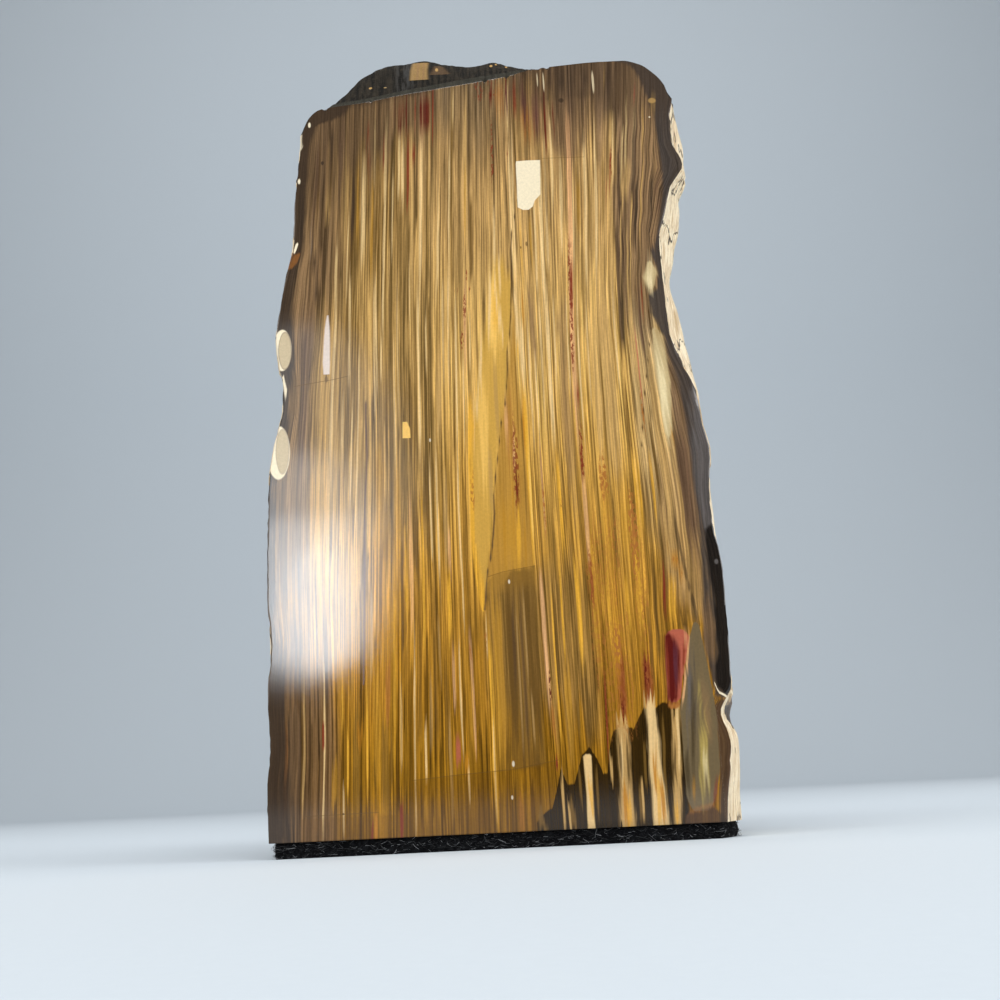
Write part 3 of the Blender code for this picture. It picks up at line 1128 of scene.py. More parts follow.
@dataclass(frozen=True)
class Streak:
    """A streak along the grain, from its foot to its head, each x and z."""

    mineral: Mineral
    foot: tuple[float, float]
    head: tuple[float, float]
    width: float
    strength: float = 0.85
    blunt: int = 1
    frayed: bool = True
    spotted: bool = False
    soft: float = 0.0
    straight: bool = False

    def field(self, grid: FaceGrid) -> np.ndarray:
        """Read the streak at the points of the face.

        Args:
            grid: The points.

        Returns:
            Values that fall from the streak's middle through 0 at its rim.
        """
        (low, high), up = self.lines(grid), self.head[1] - self.foot[1]
        rise = (grid.frayed_z if self.frayed else grid.z) - (self.head[1] + self.foot[1]) / 2
        right = (grid.x if self.straight else grid.grain) - (low + high) / 2 - (high - low) * rise / up
        beside, along = np.abs(right) / (self.width / 2), np.abs(rise) / (up / 2)
        power = 2 ** (self.blunt + 1)
        away = (np.minimum(beside, 9) ** power + np.minimum(along, 9) ** power) ** (1 / power)
        steep = 0.55 / self.soft if self.soft else (1.0 if self.frayed else 3.0)
        return np.clip((1 - away) * steep, -3, 3)

    def lines(self, grid: FaceGrid) -> tuple[float, float]:
        """Lines of the grain at its foot and head, nearly one where the streak runs along the grain.

        Args:
            grid: Points of the face.

        Returns:
            The two lines.
        """
        if self.straight:
            return self.foot[0], self.head[0]
        low, high = grid.line_at(*self.foot), grid.line_at(*self.head)
        middle, apart = (low + high) / 2, (high - low) / 2
        apart *= 0.3 if abs(apart) < 0.8 else 1.0
        return middle - apart, middle + apart

    def span(self, grid: FaceGrid) -> tuple[float, float]:
        """Lines of the grain between which the streak lies."""
        ends = sorted((grid.line_at(*self.foot), grid.line_at(*self.head)))
        return ends[0] - 3 * self.width, ends[1] + 3 * self.width


@dataclass(frozen=True)
class Patch:
    """A patch between two outlines, each a list of places along the patch and its edge there.

    The places are heights z and the edges x, or the other way round if the patch runs across.
    """

    mineral: Mineral
    low: Keys
    high: Keys
    strength: float = 1.0
    soft: float = 0.12
    frayed: bool = False
    across: bool = False
    spotted: bool = False
    painted: bool = False

    def span(self, grid: FaceGrid) -> tuple[float, float]:
        """Lines of the grain between which the patch lies.

        Args:
            grid: Points of the face.

        Returns:
            The left and the right line.
        """
        if self.across:
            return min(e for e, _ in self.low) - 6.0, max(e for e, _ in self.low) + 6.0
        lines = [grid.line_at(edge, place) for place, edge in (*self.low, *self.high)]
        return min(lines) - 2.0, max(lines) + 2.0

    def outline(self, keys: Keys, side: float, start: float, end: float) -> list[tuple[float, float]]:
        """Outline for a curve node, with its ends turned so that the patch closes there.

        Args:
            keys: Places and edges.
            side: 1 for the low outline and -1 for the high one.
            start: Where the patch starts.
            end: Where the patch ends.

        Returns:
            Pairs in parts of the face's width and height.
        """
        closed = [(start - 0.12, keys[0][1] + 40 * side), *keys, (end + 0.12, keys[-1][1] + 40 * side)]
        tall, wide = Stack.TALL, Stack.WIDE
        if self.across:
            return [((p + wide / 2) / wide, e / tall) for p, e in closed]
        return [(p / tall, (e + wide / 2) / wide) for p, e in closed]

    def field(self, grid: FaceGrid) -> np.ndarray:
        """Read the patch at the points of the face.

        Args:
            grid: The points.

        Returns:
            Values that fall from inside the patch to outside, about 0.25 on its outline.
        """
        height = grid.frayed_z if self.frayed else grid.z
        along, beside = (grid.x, height) if self.across else (height, grid.x)
        low = np.interp(along, *np.array(self.low, float).T)
        high = np.interp(along, *np.array(self.high, float).T)
        start = min(self.low[0][0], self.high[0][0])
        end = max(self.low[-1][0], self.high[-1][0])
        inside = np.minimum(np.minimum(beside - low, high - beside), np.minimum(along - start, end - along))
        return np.clip(0.25 + 0.28 * inside / self.soft, -3, 3)

    def mask(self, stack: Stack) -> Wire:
        """Read the patch in a material, for one too fine for the points of the face.

        Args:
            stack: The surface.

        Returns:
            A value from 0 to the strength.
        """
        graph = stack.graph
        along, beside = (stack.unit_x, stack.unit_z) if self.across else (stack.unit_z, stack.unit_x)
        scale = Stack.TALL if self.across else Stack.WIDE
        start = min(self.low[0][0], self.high[0][0])
        end = max(self.low[-1][0], self.high[-1][0])
        edges = [
            graph.add("FloatCurve", {"points": self.outline(keys, side, start, end)}, {"Value": along})
            for keys, side in ((self.low, 1.0), (self.high, -1.0))
        ]
        inside = graph.math("MINIMUM", beside - edges[0], edges[1] - beside)
        return graph.step(inside, -self.soft / scale, self.soft / scale, 0.0, self.strength)


def line(mineral: Mineral, keys: Keys, width: float, strength: float = 0.9, across: bool = False) -> Patch:
    """A thin line along a route.

    Args:
        mineral: Its mineral.
        keys: Places along the patch and the line's middle there.
        width: Its width.
        strength: How strongly it shows.
        across: Whether it runs across the grain.

    Returns:
        The line as a narrow patch.
    """
    low = [(p, e - width / 2) for p, e in keys]
    high = [(p, e + width / 2) for p, e in keys]
    return Patch(mineral, low, high, strength, soft=0.09, across=across)


@dataclass(frozen=True)
class Zone:
    """A broad part of the face with its own dark and light minerals."""

    dark: Mineral
    light: Mineral
    middle: tuple[float, float]
    half: tuple[float, float]
    strength: float = 1.0
    soft: float = 0.7

    def share(self, grid: FaceGrid) -> np.ndarray:
        """How much of the zone there is at the points of the face, from 0 to its strength.

        Args:
            grid: Points of the face.

        Returns:
            The shares.
        """
        rise = grid.zone_z - self.middle[1]
        beside = (grid.zone_x - self.middle[0]) / self.half[0]
        away = np.hypot(beside**2, (rise / self.half[1]) ** 2)
        return self.strength * ease(1.0, 1.0 - self.soft, away)


@dataclass
class Layer:
    """Marks of one mineral that are laid together."""

    BOTTOM: ClassVar[float] = -3.0

    name: str
    mineral: Mineral
    spotted: bool
    marks: list[Streak | Patch]

    @property
    def strength(self) -> float:
        """How strongly the strongest mark shows."""
        return max(mark.strength for mark in self.marks)

    def values(self, grid: FaceGrid) -> np.ndarray:
        """Join the marks' fields, with weaker marks cut off lower.

        Args:
            grid: Points of the face.

        Returns:
            The highest field at each point.
        """
        joint = np.full(grid.x.shape, self.BOTTOM)
        for mark in self.marks:
            share = mark.strength / self.strength
            crest = 3.0 if share > 0.97 else 0.55 * share**1.6
            joint = np.maximum(joint, np.minimum(mark.field(grid), crest))
        return joint

    def lay_on(self, stack: Stack) -> None:
        """Lay the marks on a surface, from what is stored on the mesh."""
        mask = stack.graph.step(stack.graph.read(self.name), stack.rim, stack.core, 0.0, self.strength)
        stack.lay(mask * stack.spots if self.spotted else mask, self.mineral)


def lay_paint(stack: Stack, name: str) -> None:
    """Lay paint that is stored on the mesh, with its colours already scaled by its cover.

    Args:
        stack: The surface.
        name: What the paint is stored as.
    """
    graph = stack.graph
    paint = graph.read(name, "Color")
    factor, low, high, result = Graph.COLOUR_MIX
    under = graph.blend(paint.other("Alpha"), stack.colour, (0, 0, 0))
    settings = {"data_type": "RGBA", "blend_type": "ADD"}
    stack.colour = graph.add("Mix", settings, {factor: 1.0, low: under, high: paint}, result)


@dataclass
class Wash:
    """Soft marks painted over each other on the points of the face."""

    EDGE: ClassVar[float] = 0.55

    name: str
    marks: list[Streak | Patch]

    def values(self, grid: FaceGrid) -> np.ndarray:
        """Paint the marks in order.

        Args:
            grid: Points of the face.

        Returns:
            Red, green and blue scaled by the cover, and the cover, at each point.
        """
        paint = np.zeros(grid.x.shape + (4,))
        for mark in self.marks:
            columns = grid.columns(*mark.span(grid))
            part = grid.part(columns)
            mask = mark.strength * ease(0.0, self.EDGE, mark.field(part) - part.rim)[..., None]
            paint[:, columns] += mask * (np.array([*mark.mineral.colour, 1.0]) - paint[:, columns])
        return paint

    def lay_on(self, stack: Stack) -> None:
        """Lay the paint on a surface, from what is stored on the mesh."""
        lay_paint(stack, self.name)


@dataclass(frozen=True)
class Hairs:
    """Fine pale and dark hairlines of the grain, each lighter or darker than the ground it lies on."""

    name: str = "hairlines"
    bands: int = 260
    count: int = 4200
    seed: int = 17
    tones: tuple[float, ...] = (1.8, 1.4, 1.1, 0.6, 0.34)
    chances: tuple[float, ...] = (0.17, 0.25, 0.12, 0.24, 0.22)

    def paint(self, grid: FaceGrid, middle: np.ndarray) -> np.ndarray:
        """Scatter broad faint bands and then fine clear hairlines.

        Args:
            grid: Points of the face.
            middle: Middle colour of the ground at each point.

        Returns:
            Red, green and blue scaled by the cover, and the cover, at each point.
        """
        rng = np.random.default_rng(self.seed)
        paint = np.zeros(grid.x.shape + (4,))
        worn = ease(1.1, 0.3, grid.rim + 0.4)
        for number in range(self.bands + self.count):
            broad = number < self.bands
            line, foot = rng.uniform(-35.5, 33), rng.uniform(-25, 130)
            long = float(np.clip(rng.lognormal(3.0, 0.75), 4, 120))
            width = rng.uniform(0.8, 3.0) if broad else float(np.clip(rng.lognormal(-1.65, 0.5), 0.1, 0.7))
            strength = rng.uniform(0.2, 0.6) if broad else rng.uniform(0.35, 1.0)
            tone = self.tones[rng.choice(len(self.tones), p=self.chances)]
            columns = grid.columns(line - width, line + width)
            beside = np.abs(grid.grain[:, columns] - line) / (width / 2)
            height = grid.frayed_z[:, columns]
            ends = ease(foot, foot + 1.5, height) * ease(foot + long, foot + long - 1.5, height)
            mask = strength * ends * ease(1.1, 0.8, beside) * worn[:, columns]
            colour = np.minimum(middle[:, columns] ** (1.0 if tone < 1 else 0.95) * tone, 0.9)
            fresh = np.concatenate([colour, np.ones(colour.shape[:2] + (1,))], axis=-1)
            paint[:, columns] += mask[..., None] * (fresh - paint[:, columns])
        return paint


def gather(start: int, *groups: Sequence[Streak | Patch]) -> list[Layer | Wash]:
    """Sort marks in layers: in each group first patches, then soft streaks, then spotted marks.

    Args:
        start: Number that the first group's layers are named by.
        groups: Groups of marks, the lowest first.

    Returns:
        The layers and washes, the lowest first.
    """
    layers: list[Layer | Wash] = []
    for number, group in enumerate(groups, start):
        soft = [mark for mark in group if not mark.spotted and (isinstance(mark, Streak) or mark.painted)]
        kinds: dict[tuple, list[Streak | Patch]] = {}
        for mark in sorted((m for m in group if m not in soft), key=lambda m: m.spotted):
            kinds.setdefault((mark.spotted, mark.mineral), []).append(mark)
        crisp = [
            Layer(f"mark_{number}_{mineral.name.lower()}" + "_spots" * spotted, mineral, spotted, marks)
            for (spotted, mineral), marks in kinds.items()
        ]
        layers += [layer for layer in crisp if not layer.spotted]
        layers += [Wash(f"wash_{number}", soft)] if soft else []
        layers += [layer for layer in crisp if layer.spotted]
    return layers


@dataclass(frozen=True)
class Speck:
    """A small upright fleck that the material draws."""

    mineral: Mineral
    place: tuple[float, float]
    width: float
    strength: float = 0.85
    tallness: float = 2.2
    soft: float = 0.5

    def mask(self, stack: Stack) -> Wire:
        """Where the fleck shows, from 0 to its strength.

        Args:
            stack: The surface.

        Returns:
            The mask.
        """
        squat = stack.graph.combine(stack.x, stack.z * (1 / self.tallness), 0.0)
        middle = (self.place[0], self.place[1] / self.tallness, 0)
        away = stack.graph.add("VectorMath", {"operation": "DISTANCE"}, {0: squat, 1: middle}, "Value")
        return stack.graph.step(away, self.width / 2, self.width / 2 * (1 - self.soft), 0.0, self.strength)


@dataclass(frozen=True)
class Seam:
    """A healed crack across the grain that the material draws, by pairs of x and z."""

    mineral: Mineral
    route: Keys
    width: float = 0.16
    strength: float = 0.6

    def mask(self, stack: Stack) -> Wire:
        """Where the seam shows, from 0 to its strength.

        Args:
            stack: The surface.

        Returns:
            The mask.
        """
        start, end = self.route[0][0], self.route[-1][0]
        route = [(start - 0.3, -30.0), *self.route, (end + 0.3, -30.0)]
        points = [((x + Stack.WIDE / 2) / Stack.WIDE, z / Stack.TALL) for x, z in route]
        middle = stack.graph.add("FloatCurve", {"points": points}, {"Value": stack.unit_x})
        away = abs(stack.unit_z - middle)
        rim = self.width / Stack.TALL
        return stack.graph.step(away, 0.7 * rim, 0.2 * rim, 0.0, self.strength)


M = Mineral

# Dark and light ground colours by height: darker towards the top and the bottom, partly the stone's own tone and
# partly painted shade where the light falls off.
TONE_AND_SHADE_BANDS = (
    (-6, (0.055, 0.024, 0.002), (0.20, 0.088, 0.004)),
    (10, (0.105, 0.045, 0.003), (0.37, 0.165, 0.008)),
    (24, (0.14, 0.060, 0.005), (0.48, 0.213, 0.017)),
    (40, (0.195, 0.090, 0.012), (0.62, 0.295, 0.038)),
    (56, (0.245, 0.125, 0.023), (0.72, 0.38, 0.072)),
    (72, (0.260, 0.141, 0.033), (0.78, 0.44, 0.115)),
    (88, (0.230, 0.128, 0.035), (0.75, 0.44, 0.135)),
    (102, (0.195, 0.108, 0.034), (0.64, 0.37, 0.122)),
    (114, (0.145, 0.082, 0.030), (0.46, 0.265, 0.093)),
    (122, (0.095, 0.056, 0.026), (0.32, 0.190, 0.076)),
    (131, (0.060, 0.038, 0.023), (0.19, 0.120, 0.058)),
)

ZONES = (
    Zone(M.OLIVE, M.TAN, (-19, 76), (13, 34), 0.9, 0.8),
    Zone(M.UMBER, M.OLIVE_TAN, (-21, 112), (11, 24), 0.8, 0.8),
    Zone(M.UMBER, M.OLIVE_TAN, (5, 30), (9, 15), 0.7, 0.6),
    Zone(M.UMBER, M.OLIVE_TAN, (8, 120), (5, 10), 0.6, 0.7),
    Zone(M.DUSK, M.DUSK_TAN, (-31.5, 110), (9.5, 36), 0.9, 0.8),
    Zone(M.DUSK, M.DUSK_TAN, (-34, 66), (6.0, 40), 0.9, 0.7),
    Zone(M.DUSK, M.UMBER_TAN, (-33.5, 8), (8, 27), 0.95, 0.6),
    Zone(M.DUSK, M.DUSK_TAN, (-21, 125), (14, 13), 0.8, 0.7),
    Zone(M.SKIN, M.BROWN, (14.5, 130), (9.5, 7.5), 0.9, 0.35),
    Zone(M.SKIN, M.BROWN, (27, 129), (14, 12), 0.95, 0.5),
    Zone(M.MAUVE, M.GREY_BROWN, (14.5, 119), (7.5, 9), 0.55, 0.5),
    Zone(M.DARK_MAUVE, M.GREY_BROWN, (28, 112), (5.5, 24), 0.95, 0.6),
    Zone(M.DARK_MAUVE, M.GREY_BROWN, (25, 94), (4.6, 16), 0.9, 0.5),
    Zone(M.GREY_BROWN, M.LENS, (25.5, 66), (4.5, 22), 0.6, 0.7),
    Zone(M.BROWN, M.TAN, (28.5, 48), (4, 16), 0.8, 0.6),
    Zone(M.DARK_MAUVE, M.BROWN, (31.2, 66), (3.4, 26), 0.95, 0.4),
)


@dataclass(frozen=True)
class PolishedFace:
    """Polished section along the grain: streaked tan and gold, dark at the skin."""

    streaked: Sequence[Layer | Wash]
    smooth: Sequence[Layer | Wash]
    details: Sequence[Patch | Seam | Speck]
    hairs: Hairs = Hairs()
    roughness: float = 0.065

    def store_fields(self, rock: bpy.types.Object, stone: Stone) -> None:
        """Store the zones' colours and the layers' fields on the points of the face.

        Args:
            rock: The stone, whose first points are the face's.
            stone: The builder that knows the face's rows and columns.
        """
        grid = FaceGrid(stone.face_grain, stone.face_x, stone.face_z)
        # The bands carry painted shade towards the top and the bottom as well as the stone's own tone.
        heights, darks, lights = [np.array(column, float) for column in zip(*TONE_AND_SHADE_BANDS)]
        dark, light = [
            np.stack([np.interp(grid.zone_z, heights, colours[:, channel]) for channel in range(3)], axis=-1)
            for colours in (darks, lights)
        ]
        for zone in ZONES:
            share = zone.share(grid)[..., None]
            dark = dark + share * (np.array(zone.dark.colour) - dark)
            light = light + share * (np.array(zone.light.colour) - light)
        opaque = np.ones(grid.x.shape + (1,))
        fields = {
            "ground_dark": np.concatenate([dark, opaque], axis=-1),
            "ground_light": np.concatenate([light, opaque], axis=-1),
            self.hairs.name: self.hairs.paint(grid, dark * 0.5 + light * 0.5),
        }
        layers = sorted([*self.streaked, *self.smooth], key=lambda layer: isinstance(layer, Layer))
        fields |= {layer.name: layer.values(grid) for layer in layers}
        for name, values in fields.items():
            ordered = stone.in_point_order(values)
            outside = 0.0 if values.ndim > 2 else Layer.BOTTOM
            rest = np.full((len(rock.data.vertices) - len(ordered), *ordered.shape[1:]), outside)
            store_values(rock.data, name, np.concatenate([ordered, rest]))

    def ground(self, stack: Stack) -> None:
        """Mix the zones and the fine streaks of the grain.

        Args:
            stack: The face.
        """
        graph = stack.graph
        grain, z = stack.grain, stack.z
        broad = graph.noise((grain * 0.4, z * 0.022, 1.0), 1.0)
        fine = graph.noise((grain * 1.9, z * 0.035, 8.0), 3.0, 0.7)
        level = graph.step(broad, 0.38, 0.62) * 0.3 + graph.step(fine, 0.42, 0.58) * 0.7
        dark, light = graph.read("ground_dark", "Color"), graph.read("ground_light", "Color")
        stack.colour = graph.blend(level, dark, light)

    def material(self) -> bpy.types.Material:
        """Make the material.

        Returns:
            The material.
        """
        graph = Graph("polished_face")
        stack = Stack(graph)
        self.ground(stack)
        lay_paint(stack, self.hairs.name)
        x, z = stack.x, stack.z
        for layer in self.streaked:
            layer.lay_on(stack)
        fibre = graph.noise((stack.grain * 3.0, z * 0.05, 2.0), 3.0, 0.8)
        stack.colour = graph.tint(stack.colour, graph.step(fibre, 0.4, 0.6, 0.74, 1.18))
        for layer in self.smooth:
            layer.lay_on(stack)
        for detail in self.details:
            stack.lay(detail.mask(stack), detail.mineral)
        grain = graph.noise((x * 2.6, z * 2.2, 6.0), 3.0, 0.7)
        colour = graph.tint(stack.colour, grain * 0.4 + 0.8)
        scratch = graph.noise((x * 5.0 + z * 2.0, z * 1.2 - x * 0.6, 30.0), 3.0, 0.7)
        haze = graph.noise((x * 0.8, z * 0.2, 33.0), 2.0)
        rough = stack.roughness + (scratch * 0.05 + haze * 0.05 + (self.roughness - 0.18))
        bump = graph.bump(0.06, 0.00005, scratch + fibre * 0.5)
        return graph.finish(Base_Color=colour, Roughness=rough, Normal=bump, IOR=1.46)


def streaks(mineral: Mineral, width: float, strength: float, *rows: Sequence[float], **extra: object) -> list[Streak]:
    """Streaks that share a finish."""
    return [Streak(mineral, row[:2], row[2:], width, strength, **extra) for row in rows]


def glows(mineral: Mineral, width: float, strength: float, *rows: Sequence[float], soft: float) -> list[Streak]:
    """Streaks with blurred rims that don't follow the grain, for the smooth fillings."""
    return streaks(mineral, width, strength, *rows, soft=soft, frayed=False, straight=True)

# Dark skin round the log, seen at both sides and along the top of the face.
SKIN_MARKS = [
    Patch(M.SKIN, ((2, -45), (36, -45)), ((2, -32.8), (10, -33.2), (22, -33.6), (30, -34.0), (36, -35.4)), 0.8,
        soft=0.9),
    *streaks(M.MAUVE, 2.2, 0.7, (-31.0, 56, -30.6, 92), soft=0.9),
    *streaks(M.MAUVE, 1.6, 0.6, (-29.4, 98, -28.4, 121), (-24.9, 106, -24.0, 124), soft=0.8),
    *streaks(M.BROWN, 1.2, 0.6, (-29.8, 78, -29.4, 98), (-28.8, 86, -28.2, 99), (-27.4, 110, -26.9, 122), soft=0.6),
    *streaks(M.DUSK, 0.8, 0.8, (-22.9, 96, -22.5, 112), (-26.2, 112, -25.8, 122), (-28.9, 86, -29.0, 92), soft=0.5),
    *streaks(M.DUSK_TAN, 0.7, 0.9, (-27.3, 104, -26.6, 117), (-23.6, 112, -23.0, 124), (-28.6, 88, -28.1, 96)),
    *streaks(M.TAN, 1.3, 0.75, (-26.8, 102.5, -26.6, 108), soft=0.8),
    *streaks(M.DUSK, 1.8, 0.75, (-29.6, 94.6, -29.0, 97.2), soft=0.5),
    *streaks(M.SLATE, 1.0, 0.5, (-29.9, 97.5, -29.7, 100.2), soft=0.9),
    Patch(M.SKIN, ((0, -45), (135, -45)), ((0, -34.4), (24, -34.6), (30, -35.2), (57, -35.8), (63, -33.3),
        (70, -33.2), (76, -32.4), (85, -32.7), (90, -32.4), (95, -31.4), (97, -30.9), (100, -30.7), (108, -30.3),
        (115, -29.9), (119, -29.4), (121.5, -28.0), (123.0, -25.5), (124.0, -22.5)), 0.9, soft=0.55),
    Patch(M.SKIN, ((-29, 121), (-24, 122.8), (-20, 123.8), (-14, 125), (-9, 126.2)), ((-29, 130), (-9, 130)), 0.6,
        soft=0.7, across=True),
    Patch(M.CHARCOAL, ((80, 28), (82, 26.3), (86, 26.0), (87.5, 27.8), (90, 28.2), (92.5, 27.8), (93.5, 26.9),
        (97, 28.4), (101, 29.4), (105, 30.1), (110, 30.2), (115, 30.0), (119, 29.7), (121, 29.6), (123.5, 28.6),
        (125, 28.6), (127.5, 27.5), (130, 24)), ((80, 45), (131, 45)), 0.95, soft=0.35),
    Patch(M.CHARCOAL, ((20, 31.2), (22, 30.9), (24, 30.4), (29, 29.8), (33, 30.2), (40, 30.6), (50, 30.8),
        (60, 30.5), (66, 30.2), (70, 29.7), (75, 28.6), (80, 27.9)), ((20, 45), (81, 45)), 0.9, soft=0.4),
    Patch(M.SLATE, ((46, 31.4), (52, 31.0), (60, 30.9), (66, 31.4), (70, 31.4)), ((46, 45), (70, 45)), 0.7,
        soft=0.6),
    Patch(M.GLASS_BLACK, ((20.5, 32.6), (22, 31.5), (24, 31.0), (27, 31.9), (30, 31.7), (35, 32.1), (40, 31.8),
        (44, 31.6), (47, 32.0)), ((20.5, 45), (47, 45)), 0.95, soft=0.3),
    Patch(M.DARK_MAUVE, ((2, 29.6), (8, 30.5), (20, 30.5)), ((2, 45), (20, 45)), 0.9, soft=0.3),
    *streaks(M.BROWN, 1.6, 0.7, (30.6, 25.5, 30.9, 35.5), (30.9, 29, 31.3, 33), frayed=False),
]

# Amber flame in the middle of the face, split by the long crack.
FLAME_MARKS = [
    Patch(M.FLAME_TAN, ((38, -3.0), (42, -3.5), (45, -4.2), (50, -4.7), (58, -4.4), (66, -3.7), (70, -3.2),
        (76, -2.3), (82, -1.1), (87, 0.0), (93, 1.0)), ((38, -2.7), (40, -2.7), (46, -1.6), (51, -1.1), (55, -0.8),
        (58, -0.3), (61.5, 0.2), (65, 0.8), (68, 1.3), (70, 2.0), (73, 2.2), (77, 2.4), (81, 3.1), (85, 3.5),
        (91, 3.4), (93, 2.2)), 0.92, soft=0.35, painted=True),
    Patch(M.FLAME_BROWN, ((38, -2.6), (43, -2.1), (46, -1.5), (51, -1.0), (58, -0.2), (61.5, 0.3), (68, 1.4),
        (73, 2.3), (79, 2.9), (86, 3.6)), ((38, 4.9), (60, 4.4), (72, 3.9), (79, 3.8), (86, 3.9)), 0.8, soft=0.3,
        painted=True),
    *streaks(M.AMBER, 4.2, 0.75, (1.4, 38, 1.7, 54), soft=0.9),
    *streaks(M.DARK_AMBER, 0.5, 0.5, (0.4, 42, 0.6, 54), (3.7, 41, 3.6, 52), (1.9, 44, 2.0, 56)),
    *streaks(M.FLAME, 2.0, 0.7, (-2.9, 52, -1.3, 76), soft=0.8),
    *streaks(M.FLAME, 2.6, 0.95, (0.3, 74, 0.8, 94), soft=0.7, blunt=0),
    *streaks(M.GOLD, 1.1, 0.6, (0.9, 80, 0.7, 89), soft=0.6),
    *streaks(M.CREAM, 0.55, 0.9, (-1.0, 79, 0.7, 93), (2.0, 78.5, 0.7, 91), (1.9, 88, 1.6, 96)),
    *streaks(M.CREAM, 0.4, 0.75, (-3.4, 66, -1.6, 79.5), (-2.9, 70, -1.1, 82), (-4.0, 60, -3.3, 68)),
    *streaks(M.GOLD, 0.7, 0.85, (-4.5, 42, -4.3, 60), (-4.1, 60, -3.5, 67)),
    *streaks(M.TAN, 0.8, 0.55, (0.0, 62, 0.3, 78), (-1.6, 50, -1.0, 62)),
    *streaks(M.RUST, 1.6, 0.45, (1.9, 56, 2.3, 72), soft=0.9),
    *streaks(M.PEACH, 0.6, 0.6, (1.3, 62, 1.9, 69), (2.6, 57, 2.6, 62)),
    *streaks(M.CRIMSON, 0.6, 0.95, (2.7, 50.8, 2.9, 57.3)),
    *streaks(M.RED, 1.3, 0.8, (2.7, 50, 2.9, 66), spotted=True),
    *streaks(M.UMBER, 0.3, 0.6, (4.1, 45, 4.1, 73), (3.4, 60, 3.9, 84)),
    *streaks(M.GOLD, 0.8, 0.8, (2.5, 41, 2.8, 51), (3.9, 76, 4.0, 80)),
    *streaks(M.GOLD, 0.75, 0.95, (5.3, 42, 4.3, 75)),
    *streaks(M.FLAME, 0.4, 0.8, (5.0, 46, 4.7, 62), (4.2, 66, 3.9, 78)),
    *streaks(M.ORANGE, 0.3, 0.8, (5.2, 79.5, 5.3, 87), (4.4, 59, 4.3, 70)),
]

# Blocks that healed cracks cut across the grain, each a little darker or greyer than above.
BLOCK_MARKS = [
    Patch(M.OLIVE, ((-2.6, 11), (0, 11.2), (4.9, 11.6)), ((-2.6, 40.2), (0, 41), (4.9, 41.6)), 0.35, across=True),
    Patch(M.UMBER, ((0.0, 11), (2, 11.2), (4.9, 11.6)), ((0.0, 39), (1, 41), (4.9, 41.6)), 0.5, soft=0.4,
        across=True),
    *streaks(M.UMBER, 1.4, 0.9, (0.3, 11.5, 0.9, 40.5), soft=0.6),
    *streaks(M.DARK_MAUVE, 0.6, 0.5, (1.0, 20, 1.3, 40), (2.4, 14, 2.4, 38), soft=0.6),
    *streaks(M.UMBER, 1.6, 0.5, (3.9, 14, 3.9, 41)),
    *streaks(M.AMBER, 1.7, 0.6, (-1.4, 12, -1.4, 40)),
    *streaks(M.TAN, 0.3, 0.7, (2.9, 24, 3.0, 40.5), (3.4, 12, 3.4, 22), (1.6, 13, 1.7, 34)),
    Patch(M.DEEP_OLIVE, ((-15, 0), (7, 0)), ((-15, 10.3), (-8, 10.8), (0, 11.2), (7, 12.3)), 0.34, across=True),
    Patch(M.DEEP_OLIVE, ((-31.5, 0), (-15, 0)), ((-31.5, 5.9), (-20, 6.0), (-15, 5.4)), 0.3, soft=0.2, across=True),
    Patch(M.SKIN, ((10.2, 124.1), (15, 124.3), (19.4, 123.8)), ((10.2, 127), (19.4, 127)), 0.35, soft=0.9,
        across=True),
    Patch(M.MAUVE, ((12.0, 112.4), (17.2, 112.3)), ((12.0, 124), (17.2, 124)), 0.3, soft=0.35, across=True),
    *streaks(M.TAN, 1.7, 0.6, (29.7, 121.3, 29.9, 123.5), frayed=False),
]

